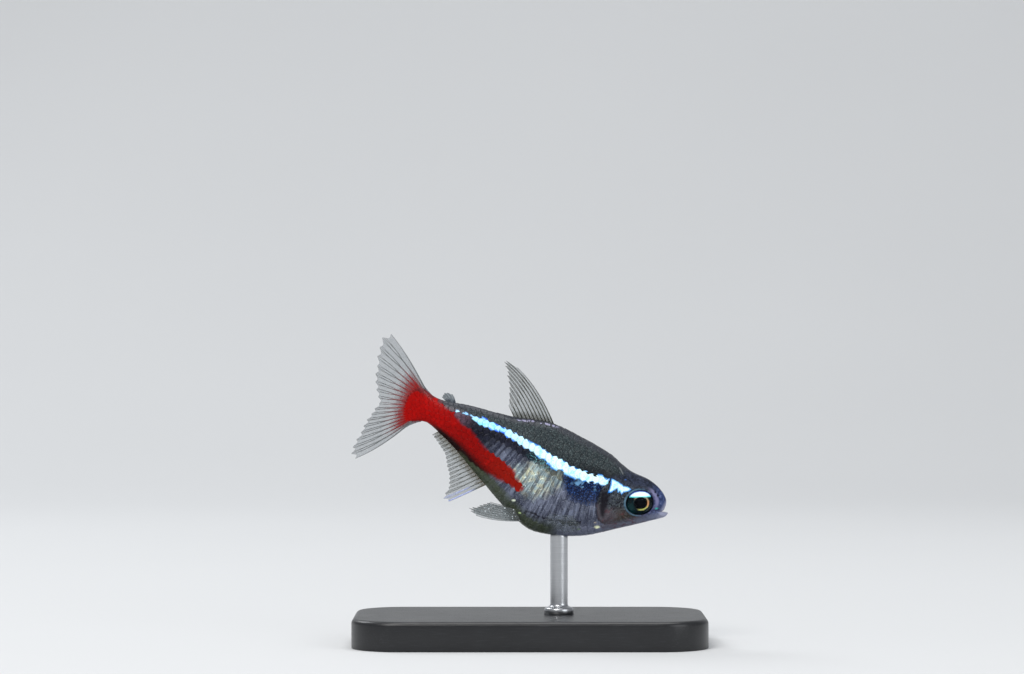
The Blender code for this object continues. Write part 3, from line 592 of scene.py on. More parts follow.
class FishPaint(Paint):
    """The colours of the fish, the same on its skin and on its scales."""

    def __init__(self, name):
        super().__init__(name)
        self.where = self.place()
        self.behind, _, self.height = self.mark("place")
        self.stripe, self.red, self.silver = self.mark("bright_marks")
        self.navy, self.gill, self.above = self.mark("dark_marks")
        self.dots, self.nape, self.from_eye = self.mark("faint_marks")
        self.along, self.across, self.chance = self.mark("lie")
        self.girth, self.on_head, self.rib = self.mark("zones")
        self.over_belly, self.under_back, self.in_mouth = self.mark("edges")
        self.fine = self.speckle(self.where, 8, 4, 0.7)
        self.coarse = self.speckle(self.where, 1.7)
        self.grain = self.speckle(self.where, 26, 2, 0.7)
        self.wander = (self.fine - 0.5) * 0.12

    def back_and_flank(self):
        """Grey-olive back with pale specks, darker along the stripe, and grey-violet flanks below it."""
        breaks = self.speckle(self.node("CombineXYZ", inputs={0: self.behind * 2.6}), 1, 1, 0.5)
        dashes = self.under_back.rise(*DASHES_IN) * self.under_back.rise(*DASHES_OUT)
        dashes = dashes * self.stretch(*DORSAL_FOOT) * breaks.rise(0.42, 0.5)
        shade = self.above.rise(*DARK_BAND) * self.behind.rise(*DARK_NAPE)
        back_colour = self.layers(
            self.mix(self.coarse, (28, 33, 36), (52, 60, 64)),
            (self.fine.rise(0.48, 0.7) * 0.75, (108, 122, 122)),
            (self.under_back.rise(*RIDGE) * 0.5, (70, 68, 78)),
            (dashes * 0.75, (170, 168, 200)),
            (shade * 0.8, (12, 15, 22)),
        )
        flank = self.layers(
            self.mix(self.coarse.rise(0.35, 0.65), (12, 13, 24), (29, 30, 44)),
            (self.fine.rise(0.5, 0.75) * 0.5, (66, 72, 94)),
        )
        return self.mix(self.above.rise(*BACK_UP), flank, back_colour)

    def belly(self, colour):
        """Grey belly with dark dots, olive and pale edges; also how much the grey covers, and its streaks."""
        way = self.node("CombineXYZ", inputs={0: self.rib * 3, 1: self.height * 0.3})
        streaks = self.speckle(way, 1).rise(0.4, 0.66)
        share = (self.above + self.wander * 3).rise(*BELLY_DOWN) * self.behind.rise(*SILVER_BELLY)
        low = (self.over_belly + self.wander * 4).rise(*LOW_EDGE)
        dot = (self.coarse + self.fine * 0.5).rise(0.66, 0.78) * self.dots.rise(*DOT_EDGE)
        grey = self.layers(
            self.mix(streaks, (58, 62, 80), (120, 127, 148)),
            (self.fine.rise(0.5, 0.72) * 0.5, (164, 172, 186)),
        )
        olive = self.mix(self.fine, (34, 42, 24), (96, 106, 76))
        colour = self.layers(
            colour,
            (share, grey),
            (low * self.behind.rise(*OLIVE_EDGE) * 0.8, olive),
            (low * self.behind.rise(*PALE_THROAT) * 0.85, self.throat()),
            (dot * 0.85, (16, 12, 22)),
        )
        return colour, share, streaks

    def silver_patch(self, colour, streaks):
        """The silver patch under the stripe, streaked as the ribs lie; also how much it covers."""
        share = (self.silver + self.wander * 6).rise(*SILVER_EDGE)
        shine = self.layers(
            self.mix(self.coarse.rise(0.42, 0.6), (194, 220, 222), (228, 230, 198)),
            (self.fine.rise(0.55, 0.68) * 0.8, (252, 254, 242)),
            (self.grain.rise(0.5, 0.3) * 0.35, (120, 132, 128)),
        )
        return self.mix(share * (0.2 + streaks * 0.8), colour, shine), share

    def navy_patch(self, colour):
        """Navy under the front of the stripe, with a pale shine next to it, and sparks further back."""
        shine = self.stripe.rise(*NAVY_SHINE_NEAR) * self.behind.rise(*NAVY_SHINE)
        navy = self.layers(
            self.mix(self.fine.rise(0.48, 0.7), (4, 12, 42), (46, 94, 168)),
            (shine * self.coarse.rise(0.48, 0.6), (116, 168, 214)),
        )
        share = (self.navy + self.wander * 4).rise(*NAVY_EDGE)
        sparks = self.stripe.rise(*SPARKS_NEAR) * self.above.rise(*SPARKS_DOWN)
        sparks = sparks * self.stretch(*SPARKS) * self.fine.rise(0.5, 0.66)
        return self.layers(colour, (share * 0.9, navy), (sparks * 0.8, (112, 190, 196)))

    def throat(self):
        """Pale lilac-grey."""
        return self.mix(self.fine, (92, 98, 118), (168, 174, 200))

    def head(self):
        """Mottled cheeks, a blue-violet snout and pale lips."""
        blotches = self.speckle(self.where, 3.6)
        flecks = self.speckle(self.where, 4.6, 2, 0.5).rise(0.58, 0.68)
        below_eye = self.height.rise(*TAN_CHEEK_DOWN) * self.behind.rise(*TAN_CHEEK)
        low_cheek = self.height.rise(*LILAC_CHEEK_DOWN) * self.behind.rise(*LILAC_CHEEK)
        blush = (self.coarse + self.fine * 0.5).rise(0.76, 0.92) * self.height.rise(*BLUSH_DOWN)
        top = self.layers(
            self.mix(blotches.rise(0.36, 0.66), (22, 26, 36), (50, 56, 74)),
            (self.fine.rise(0.48, 0.72) * 0.5, (84, 92, 116)),
        )
        snout = self.layers(
            self.mix(blotches.rise(0.34, 0.66), (22, 34, 74), (66, 82, 128)),
            (self.fine.rise(0.48, 0.72) * 0.5, (124, 132, 176)),
        )
        lips = self.mix(self.fine, (126, 134, 166), (192, 192, 210))
        face = self.layers(
            self.mix(blotches.rise(0.42, 0.6), (12, 13, 24), (60, 66, 76)),
            (self.fine.rise(0.46, 0.72) * 0.55, (98, 106, 110)),
            (flecks * 0.5, (126, 140, 138)),
            (below_eye * 0.5, self.mix(self.fine, (56, 46, 42), (112, 102, 88))),
            (low_cheek * 0.6, self.mix(self.fine, (54, 50, 60), (140, 130, 138))),
            (self.height.rise(*HEAD_TOP), top),
            (self.behind.rise(*SNOUT_BLUE) * 0.9, snout),
            (self.over_belly.rise(*CHIN) * 0.7, self.throat()),
            ((self.behind + self.height * 0.1).rise(*PALE_LIPS) * 0.8, lips),
            (blush * 0.5, (104, 26, 34)),
        )
        return self.hollow_shade(self.round_eye(face, blotches))

    def round_eye(self, face, blotches):
        """The pale rim of the eye, the violet crescent before it, and painted shade in its socket."""
        front = self.behind.rise(*EYE_FRONT)
        rim = abs(self.from_eye + self.wander * 0.5 - EYE_RIM).rise(*RIM_BREADTH)
        low_rear = (self.behind - self.height * 0.5).rise(*RIM_REAR)
        rim = rim * (0.06 + blotches.rise(0.4, 0.6) * 0.24 + low_rear * 0.34)
        crescent = abs(self.from_eye + self.wander - CRESCENT).rise(*CRESCENT_BREADTH) * front
        crescent = crescent * self.height.rise(*CRESCENT_UP)
        return self.layers(
            face,
            (rim, self.mix(front, (92, 134, 160), (132, 128, 176))),
            (crescent * 0.5, (160, 156, 198)),
            # Painted shade in the socket round the eye
            (self.from_eye.rise(1.04, 0.99), (4, 6, 9)),
        )

    def hollow_shade(self, face):
        """Painted shade inside the mouth and in the nostrils."""
        face = self.mix(self.in_mouth * 0.9, face, (20, 10, 16))
        for place in NOSTRILS:
            face = self.mix(self.spot(*place, NOSTRIL_RADIUS * 0.8) * 0.75, face, (10, 10, 24))
        return face

    def stretch(self, start, full, fading, end):
        """1 along a stretch of the body, fading to 0 at both of its ends."""
        return self.behind.rise(start, full) * self.behind.rise(end, fading)

    def spot(self, behind, height, radius):
        """1 inside a small uneven place, 0 outside it."""
        off = ((self.behind - behind) ** 2 + (self.height - height) ** 2) ** 0.5
        return (off + self.wander * 1.6).rise(radius * 1.3, radius * 0.4)

    def glint(self, behind, height, reach):
        """1 inside a small bright place, mostly a painted highlight, nearly twice as long as it is tall,
        which lies level in the pose.
        """
        off_behind, off_height = self.behind - behind, self.height - height
        level = off_height * math.sin(NOSE_DOWN) - off_behind * math.cos(NOSE_DOWN)
        upright = off_height * math.cos(NOSE_DOWN) + off_behind * math.sin(NOSE_DOWN)
        away = ((level / reach) ** 2 + (upright / (reach * GLINT_SLIMNESS)) ** 2) ** 0.5
        return (away + self.wander * 9).rise(1.15, 0.35)

    def red_band(self, colour, ragged):
        """The red band, the tints about it near the tail's root, and painted shade along its underside; also
        how much the band covers.
        """
        rear = self.behind.rise(*REAR_TINT) * self.above.rise(*REAR_TINT_DOWN)
        flush = self.behind.rise(*REAR_FLUSH) * self.red.rise(*FLUSH_NEAR)
        # Painted shade darkens the underside of the red band towards the tail
        painted_red_shade = self.girth.rise(*RED_SHADE_GIRTH) * self.behind.rise(*RED_SHADE_ALONG)
        depth = self.red + self.wander * 3.6 + (self.grain - 0.5) * 0.3 + ragged * 0.34
        share = depth.rise(*RED_EDGE)
        red = self.layers(
            (144, 20, 5),
            (self.behind.rise(*RED_DEEPENS), (142, 3, 1)),
            (self.behind.rise(*RED_BRIGHTENS), (162, 3, 1)),
            (self.fine.rise(0.5, 0.3) * 0.6, (70, 1, 1)),
            (self.coarse.rise(0.5, 0.7) * 0.4, (190, 6, 2)),
            (painted_red_shade, (28, 1, 2)),
        )
        colour = self.layers(
            colour,
            (rear * self.fine.rise(0.3, 0.6) * 0.7, (128, 96, 112)),
            (flush * 0.85, (112, 10, 12)),
            (share, red),
        )
        return colour, share

    def bright_stripe(self, ragged):
        """The colour of the bright stripe, which is also its painted glow, bluer at its edges and towards its
        end, and how much it covers.
        """
        depth = self.stripe + self.wander * (0.7 + self.on_head * 1.4) + ragged * 0.2
        bluer = self.behind.rise(*STRIPE_TURNS_BLUE)
        fringe = self.mix(bluer, (30, 130, 220), (20, 84, 220))
        streak = (self.coarse + (self.fine - 0.5) * 0.5).rise(0.52, 0.66)
        core = self.layers((222, 250, 246), (bluer, (172, 224, 250)), (streak * 0.6, (86, 222, 222)))
        near_end = self.behind.rise(*STRIPE_END) * 0.14
        core_share = (depth + near_end + (self.coarse - 0.5) * 0.3).rise(*STRIPE_CORE)
        return self.mix(core_share, fringe, core), depth.rise(*STRIPE_EDGE)


def fish_finish(name, scaly):
    """The skin of the fish, or its scales, which have dark free edges and make the markings' edges ragged."""
    paint = FishPaint(name)
    ragged = (paint.chance - 0.5) * scaly
    colour, belly_share, streaks = paint.belly(paint.back_and_flank())
    colour, silver_share = paint.silver_patch(colour, streaks)
    gill_share = (paint.gill + paint.wander * 4).rise(*GILL_EDGE)
    nape_share = (paint.nape + paint.wander * 1.5).rise(*NAPE_SHEEN_EDGE)
    colour = paint.layers(
        paint.navy_patch(colour),
        (paint.on_head, paint.head()),
        (gill_share * 0.92, paint.mix(paint.fine, (2, 2, 6), (22, 18, 32))),
        # Painted sheen on the nape
        (nape_share * 0.45, (150, 154, 158)),
    )
    colour, red_share = paint.red_band(colour, ragged)
    glow, stripe_share = paint.bright_stripe(ragged)
    colour = paint.mix(stripe_share, colour, glow)
    if scaly:
        edge = paint.along.rise(0.84, 0.98)
        sides = abs(paint.across).rise(0.7, 1.0)
        dark_edge = edge * (0.28 - red_share * 0.14 - belly_share * 0.14)
        colour = paint.mix(dark_edge * (1 - stripe_share), colour, (10, 12, 17))
        colour = paint.mix((edge + sides) * 0.4 * stripe_share, colour, (60, 150, 236))
        colour = paint.mix(paint.chance.rise(0.3, 1) * 0.2, colour, (160, 170, 180), "SOFT_LIGHT")
    # Painted glow: the stripe shines by emission, though the fish gives no light
    light = paint.mix(stripe_share, BLACK, glow)
    # Glints are painted highlights in the colour, and glow by emission as well
    for behind, height, reach, spark in GLINTS:
        glint = paint.glint(behind, height, reach)
        colour = paint.mix(glint * 0.85, colour, spark)
        light = paint.mix(glint * sum(spark) / GLINT_DIMNESS, light, spark)
    bumps = paint.fine * 0.6 + paint.grain * 0.4
    if scaly:
        bumps = bumps * 0.7 + paint.sum("SINE", paint.along * 64, 0) * 0.15
    plain = 1 - red_share
    return paint.surface(
        Base_Color=colour,
        Roughness=0.3 + paint.fine * 0.2 + red_share * 0.12,
        Metallic=(0.1 + silver_share * 0.4 + belly_share * 0.15) * plain,
        Specular_IOR_Level=0.07,
        Coat_Weight=0.04 + plain * 0.12,
        Coat_Roughness=0.14,
        Emission_Color=light,
        Emission_Strength=0.22,
        Normal=paint.bump(bumps, 0.014 if scaly else 0.022),
    )


def iris_finish():
    """Gold round the pupil, dark teal outside it, and the bright bar across the top of the eye."""
    paint = Paint("eye_iris")
    level, up, share = paint.mark("eye_place")
    place = paint.place()
    spoke = paint.speckle(place, 10)
    fine = paint.speckle(place, 28, 2, 0.6)
    behind_pupil = level.rise(-0.3, -1.0) * up.rise(0.3, -0.6)
    outer = paint.layers(
        paint.mix(spoke.rise(0.4, 0.7), (2, 8, 12), (8, 36, 46)),
        (behind_pupil * 0.7, (16, 62, 66)),
        (share.rise(0.93, 0.99) * 0.8, (2, 4, 6)),
    )
    gold = paint.layers(
        paint.mix(up.rise(-0.15, -0.6), (232, 160, 104), (200, 204, 104)),
        (up.rise(0.1, 0.5), (196, 178, 146)),
        # Pale flecks on the gold, painted as highlights
        (fine.rise(0.5, 0.72) * 0.7, (246, 236, 190)),
    )
    lit = (level + up * 0.35 + (fine - 0.5) * 0.3).rise(-0.66, -0.25)
    ring = (share + (spoke - 0.5) * 0.2).rise(0.66, 0.6) * lit
    ring = ring * (0.55 + up.rise(0.4, -0.1) * 0.45)
    bar = (up + (spoke - 0.5) * 0.12).rise(0.55, 0.63) * abs(level).rise(1.2, 1.12)
    bar_colour = paint.layers(
        (70, 206, 210),
        (up.rise(0.62, 0.76), (226, 250, 248)),
        (share.rise(0.88, 0.97), (30, 70, 220)),
    )
    pupil = share.rise(PUPIL_SHARE + 0.03, PUPIL_SHARE + 0.01)
    colour = paint.layers(outer, (ring, gold), (bar, bar_colour), (pupil, BLACK))
    return paint.surface(
        Base_Color=colour,
        Roughness=0.32 - bar * 0.05,
        Metallic=ring * 0.4,
        Specular_IOR_Level=0.1,
        # Painted glow: the bar shines by emission, though the eye gives no light
        Emission_Color=paint.mix(bar, BLACK, bar_colour),
        Emission_Strength=0.25,
        Normal=paint.bump(spoke, 0.02),
    )


def pupil_finish():
    """The black of the pupil, with the lens that bulges through it."""
    paint = Paint("eye_pupil")
    cloud = paint.speckle(paint.place(), 3, 2, 0.5)
    return paint.surface(
        Base_Color=paint.mix(cloud, (0.001, 0.001, 0.0015, 1), (0.004, 0.005, 0.008, 1)),
        Roughness=0.2 + cloud * 0.1,
        Specular_IOR_Level=0.01,
    )


def cornea_finish():
    """Clear and wet: it only mirrors."""
    paint = Paint("eye_cornea")
    gloss = paint.node("BsdfGlossy", inputs={"Color": (1, 1, 1, 1), "Roughness": 0.03})
    clear = paint.node("BsdfTransparent", inputs={"Color": (1, 1, 1, 1)})
    share = paint.node("Fresnel", inputs={"IOR": 1.13})
    return paint.end(paint.node("MixShader", inputs={0: share, 1: clear, 2: gloss}))


def web_finish(name, body, base, reach, thick=0.26, at_root=0.3, freckles=DARK_FRECKLES, middle_ray=None):
    """The clear web between rays, tinted near the body, and only round a middle ray where one is given."""
    paint = Paint(name)
    along, number, outward = paint.mark("ray_place")
    cloud = paint.speckle(paint.place(), 2.4)
    freckle_colour, density, size = freckles
    dots = paint.cells(paint.place(), density).rise(size, size / 2) * cloud.rise(0.35, 0.5)
    near = (outward + (cloud - 0.5) * 1.4).rise(reach, reach * 0.35)
    if middle_ray:
        near = near * abs(number - middle_ray).rise(middle_ray, middle_ray - 2.5)
    colour = paint.mix(cloud, body, (120, 132, 138))
    colour = paint.layers(colour, (near, base), (dots * 0.8, freckle_colour))
    return paint.surface(
        Base_Color=colour,
        Roughness=0.25 + cloud * 0.15,
        Alpha=thick + cloud * 0.12 + near * at_root + dots * size * 1.6 - along * 0.08,
        Specular_IOR_Level=0.4,
        Normal=paint.bump(cloud, 0.02),
    )


def ray_finish(name, body, base, reach, tip=None, firm=0.88, middle_ray=None):
    """Bony rays, jointed along their length; the first one may end in a colour of its own."""
    paint = Paint(name)
    along, number, outward = paint.mark("ray_place")
    cloud = paint.speckle(paint.place(), 4)
    joints = abs(paint.sum("SINE", outward * 14, 0)).rise(0.25, 0.1)
    near = (outward + (cloud - 0.5) * 1.6).rise(reach, reach * 0.4)
    if middle_ray:
        near = near * abs(number - middle_ray).rise(middle_ray - 0.4, middle_ray - 2)
    colour = paint.mix(cloud, body, paint.mix(0.5, body, (130, 136, 130)))
    colour = paint.layers(colour, (near, base), (joints * 0.4, (20, 20, 18)))
    solid = firm - along * 0.35 + near * 0.1
    if tip:
        bright = number.rise(1.6, 1.2) * along.rise(0.3, 0.5)
        colour = paint.mix(bright, colour, tip)
        solid = solid + bright * 0.4
    return paint.surface(
        Base_Color=colour,
        Roughness=0.35 + cloud * 0.1,
        Alpha=solid,
        Specular_IOR_Level=0.4,
        Normal=paint.bump(1 - joints, 0.012),
    )


def acrylic_finish():
    """Satin black acrylic with the fine rubbed marks of a polishing cloth."""
    paint = Paint("base_acrylic")
    place = paint.node("TexCoord", output=3)
    cloud = paint.speckle(place, 240, 3, 0.5)
    rubbed = paint.speckle(paint.stretched(place, (500, 9000, 9000)), 1, 2, 0.6)
    crossed = paint.speckle(paint.stretched(place, (7000, 900, 7000)), 1, 2, 0.6)
    marks = rubbed.rise(0.5, 0.75) * 0.6 + crossed.rise(0.52, 0.78) * 0.4
    colour = paint.mix(cloud, (20, 21, 23), (34, 35, 38))
    return paint.surface(
        Base_Color=paint.mix(marks * 0.3, colour, (70, 72, 76)),
        Roughness=0.3 + marks * 0.16 + cloud * 0.06,
        Specular_IOR_Level=0.45,
        Normal=paint.bump(marks, 0.003),
    )


def steel_finish():
    """Brushed steel, its marks running round the rod."""
    paint = Paint("rod_steel")
    place = paint.node("TexCoord", output=3)
    marks = paint.speckle(paint.stretched(place, (300, 300, 14000)), 1, 3, 0.6)
    return paint.surface(
        Base_Color=paint.mix(marks, (168, 170, 174), (206, 208, 210)),
        Roughness=0.24 + marks * 0.14,
        Metallic=1.0,
        Normal=paint.bump(marks, 0.003),
    )


def ring_points(top, low, side, width, keels, turns):
    """A closed ring of points through the top, the underside and two side points, each at half the width."""
    height, reach = np.sin(turns), np.abs(np.cos(turns))
    upper = height >= 0
    end = np.where(upper[:, None], top, low)
    flat = np.array(side) + (end - side) * np.abs(height)[:, None]
    aside = width * reach ** np.where(upper, *keels) * np.sign(np.cos(turns))
    return np.column_stack([-flat[:, 0], aside, flat[:, 1]])


def body_ring(station, turns):
    """The ring of the body at a station; near the snout it leans, and its lips stand a little proud."""
    lean = max(0, 1 - station / FACE_LENGTH) ** 2
    behind_side, behind_low = station + CORNER_SETBACK * lean, station - CHIN_REACH * lean
    proud = LIP_HEIGHT * math.exp(-(((station - LIP_BREADTH) / LIP_BREADTH) ** 2))
    ring = ring_points(
        (station, back(station) + proud),
        (behind_low, belly(behind_low) - proud),
        (behind_side, widest(behind_side)),
        half_width(behind_side) + proud,
        (back_keel(station), belly_keel(station)),
        turns,
    )
    from_corner = np.maximum(np.sin(turns), 0)
    closing = from_corner * rise(1 - from_corner, *LIP_FRONT) * (1 - rise(station, *LIP_FADE))
    ring[:, 2] -= np.maximum(LIP_DROP * closing - LIP_SLACK, 0)
    return ring


def eye_axes(side):
    """The middle of an eye, the way it looks, and its long and tall directions."""
    middle = np.array([-EYE_BEHIND, side * EYE_ASIDE, -EYE_BELOW])
    out = np.array([math.sin(EYE_FORWARD), side * math.cos(EYE_FORWARD), 0])
    ahead = np.array([math.cos(EYE_FORWARD), -side * math.sin(EYE_FORWARD), 0])
    level = ahead * math.cos(EYE_TILT) + np.array([0, 0, math.sin(EYE_TILT)])
    upright = np.array([0, 0, math.cos(EYE_TILT)]) - ahead * math.sin(EYE_TILT)
    return middle, out, level, upright


def skin_rings():
    """Rings of the skin, from inside the mouth out over the lips and back to the tail's root."""
    stations = [
        *(FACE_LENGTH * np.linspace(0, 1, FACE_RINGS, endpoint=False) ** 1.5),
        *np.linspace(FACE_LENGTH, FINE_LENGTH, GILL_RINGS, endpoint=False),
        *np.linspace(FINE_LENGTH, BODY_END, BODY_RINGS),
    ]
    inner = [
        ring_points(upper, lower, side, width, (1, 1), SKIN_TURNS)
        for upper, lower, side, width in MOUTH_RINGS
    ]
    rings = [body_ring(station, SKIN_TURNS) for station in stations]
    keys = [*inner, rings[0], rings[4]]
    mouth = []
    for i in (0, 1):
        before, one, other, after = keys[max(i - 1, 0)], keys[i], keys[i + 1], keys[i + 2]
        for share in np.linspace(0, 1, MOUTH_STEPS, endpoint=False):
            mouth.append(bend(one, (other - before) / 2, other, (after - one) / 2, share))
    ends = []
    for on, top, low, width in TAIL_ROOT:
        behind = BODY_END + on
        heights = ((behind, height) for height in (top, low, TAIL_MIDDLE))
        ends.append(ring_points(*heights, width, TAIL_KEELS, SKIN_TURNS))
    return np.array([*mouth, *rings, *ends])


def head_share(behind, height, softness=0.0):
    """1 on the head, which has no scales, and 0 behind the gill covers."""
    margin = np.interp(height, *np.array(GILL_MARGIN)[::-1, ::-1].T)
    return 1 - rise(behind - margin, -0.12 - softness, 0.12)


def ridge(away, breadth):
    """1 in the middle of a ridge, less to its sides."""
    return np.exp(-((away / breadth) ** 2))


def skin_relief(behind, height):
    """How far the head's bones and folds stand out of the skin."""
    cover = depth_in(cover_outline, behind, height)
    rear = rise(behind, *COVER_REAR)
    proud = COVER_RISE * rise(cover, 0, 0.5 - 0.4 * rear) - COVER_GROOVE * rear * ridge(cover + 0.08, 0.07)
    for line, out, breadth in HEAD_LINES:
        proud = proud + out * ridge(distance_to(line, behind, height), breadth)
    from_eye = eye_share(behind, height)
    fold = FOLD_IN * rise(-height, *FOLD_DOWN) * ridge(from_eye - EYE_FOLD, FOLD_HALF)
    proud = proud + RIM_OUT * ridge(from_eye - EYE_RIM, RIM_HALF) - fold
    for place in NOSTRILS:
        away = np.hypot(behind - place[0], height - place[1]) / NOSTRIL_RADIUS
        proud = proud - NOSTRIL_DEPTH * ridge(away, 1) + NOSTRIL_RIM * ridge(away - 1.5, 0.4)
    return proud - SKIN_INSET * (1 - head_share(behind, height)) * rise(behind, *SKIN_SINKS)


def add_skin():
    """One skin from the lips to the tail's root, with sockets for the eyes."""
    rings = skin_rings()
    behind, height = -rings[:, :, 0], rings[:, :, 2]
    girth = np.broadcast_to(np.arcsin(np.sin(SKIN_TURNS)) / (math.pi / 2), behind.shape)
    along = np.gradient(rings, axis=0)
    around = np.roll(rings, -1, 1) - np.roll(rings, 1, 1)
    normal = unit(np.cross(along, around))
    on_lips = (np.arange(len(rings)) < 2 * MOUTH_STEPS + LIP_RINGS)[:, None]
    relief = np.where(on_lips, 0, skin_relief(behind, height))
    points = rings + normal * relief[:, :, None]
    for side in (-1, 1):
        middle, out, level, upright = eye_axes(side)
        away = points - middle
        deep = away @ out
        share = np.hypot(away @ level / EYE_HALF_LENGTH, away @ upright / EYE_HALF_HEIGHT)
        inside = (1 - rise(share, *SOCKET_EDGE)) * (points[:, :, 1] * side > 0)
        sunk = np.minimum(deep, -SOCKET_DEPTH)
        points = points + ((sunk - deep) * inside)[:, :, None] * out
    points[:, :, 1] += swing(behind)
    rows, columns = behind.shape
    flat = points.reshape(-1, 3)
    place = np.column_stack([behind.ravel(), flat[:, 1], height.ravel()])
    faces = ring_faces(rows, columns, flipped=True)
    head = head_share(behind, height, 1.6 * rise(height, 0.5, 1.3)).ravel()
    marks = {
        "place": place,
        "zones": np.column_stack([girth.ravel(), head, rib_place(behind, height).ravel()]),
        "lie": np.zeros_like(place),
        **marks_at(place[:, 0], place[:, 2]),
    }
    ring = np.repeat(np.arange(rows), columns)
    marks["edges"][:, 2] = 1 - rise(ring, 2 * MOUTH_STEPS - 5, 2 * MOUTH_STEPS - 1)
    replaced = ("head", "trunk", "tail", "gill_cover_left", "gill_cover_right")
    add_piece("fish_skin", flat, faces, fish_finish("fish_skin", scaly=False), replaced, marks)


def rib_place(behind, height):
    """Runs along the body, with lines of one value lying as the ribs do."""
    return behind + (height - RIB_LEVEL) * (behind - UPRIGHT_RIB) * RIB_FAN


# The flank unrolled: turns about the body, for each station and each distance round it from the middle row
FLANK_STATIONS = np.linspace(FACE_LENGTH, BODY_END, 160)
FLANK_TURNS = np.linspace(-math.pi / 2, math.pi / 2, 241)
GIRTH_REACH = np.linspace(-9, 9, 361)


def flank_table():
    """For each station: the turns at even distances round the flank, and how far it goes up and down."""
    turns, ends = [], []
    for station in FLANK_STATIONS:
        ring = body_ring(station, FLANK_TURNS)
        arc = np.concatenate([[0], np.cumsum(np.linalg.norm(np.diff(ring, axis=0), axis=1))])
        arc = arc - np.interp(row_middle(station), ring[:, 2], arc)
        turns.append(np.interp(GIRTH_REACH, arc, FLANK_TURNS))
        ends.append((arc[0], arc[-1]))
    return np.array(turns), np.array(ends)


flank_turns, flank_ends = flank_table()


def flank_point(behind, reach, side):
    """The place on a flank at a distance behind the snout and a distance round the body."""
    i = (behind - FLANK_STATIONS[0]) / (FLANK_STATIONS[1] - FLANK_STATIONS[0])
    j = (reach - GIRTH_REACH[0]) / (GIRTH_REACH[1] - GIRTH_REACH[0])
    turn = read_table(flank_turns, i, j)
    height, reach_out = np.sin(turn), np.abs(np.cos(turn))
    upper = height >= 0
    middle = widest(behind)
    end = np.where(upper, back(behind), belly(behind))
    keel = np.where(upper, back_keel(behind), belly_keel(behind))
    aside = side * half_width(behind) * reach_out**keel + swing(behind)
    return np.stack([-behind, aside, middle + (end - middle) * np.abs(height)], axis=-1)


def flank_reach_ends(behind):
    """How far the flank goes down and up round the body at a distance behind the snout."""
    return (np.interp(behind, FLANK_STATIONS, ends) for ends in flank_ends.T)


def scale_roots(side, draw):
    """Scales of a flank: each one's root behind the snout and round the body, pitch and row's breadth."""
    roots = []
    for row in range(SCALE_ROWS_LOW, SCALE_ROWS_HIGH + 1):
        behind = FIRST_SCALE + (0.5 if row % 2 else 0) * scale_pitch(5)
        while behind < LAST_SCALE:
            pitch, breadth = scale_pitch(behind), row_pitch(behind)
            reach = row * breadth
            low, high = flank_reach_ends(behind)
            height = flank_point(np.array([behind]), np.array([reach]), side)[0, 2]
            fits = low + 0.1 * breadth < reach < high - 0.1 * breadth
            if fits and head_share(behind + 0.3, height) < 0.5:
                nudge = draw.normal(0, PLACE_SPREAD, 2)
                roots.append((behind + nudge[0] * pitch, reach + nudge[1] * breadth, pitch, breadth))
            behind += pitch
    return np.array(roots)


def scale_places(roots, size, along, across):
    """Where each scale's points lie behind the snout and round the body; scales end at the flank's edges."""
    behind0, reach0, pitch, breadth = (column[:, None] for column in roots.T)
    length = pitch * SCALE_OVERLAP * size
    behind = behind0 + length * along * (1 - SCALE_ROUNDING * np.abs(across) ** SCALE_ROUNDNESS)
    low, high = flank_reach_ends(np.minimum(behind, FLANK_END))
    spread = breadth * SCALE_SPREAD * size * (1 - SCALE_NARROWING * (1 - along) ** 2)
    room = np.where(across > 0, high - reach0, reach0 - low) - 0.01
    return behind, reach0 + across * np.minimum(spread, np.maximum(room, 0.02))


def flank_normal(behind, reach, side, step=0.02):
    """Which way the flank faces."""
    here = flank_point(behind, reach, side)
    ahead = flank_point(np.maximum(behind - step, FACE_LENGTH), reach, side) - here
    upward = flank_point(behind, reach + step, side) - flank_point(behind, reach - step, side)
    return unit(side * np.cross(upward, ahead), 1e-9)


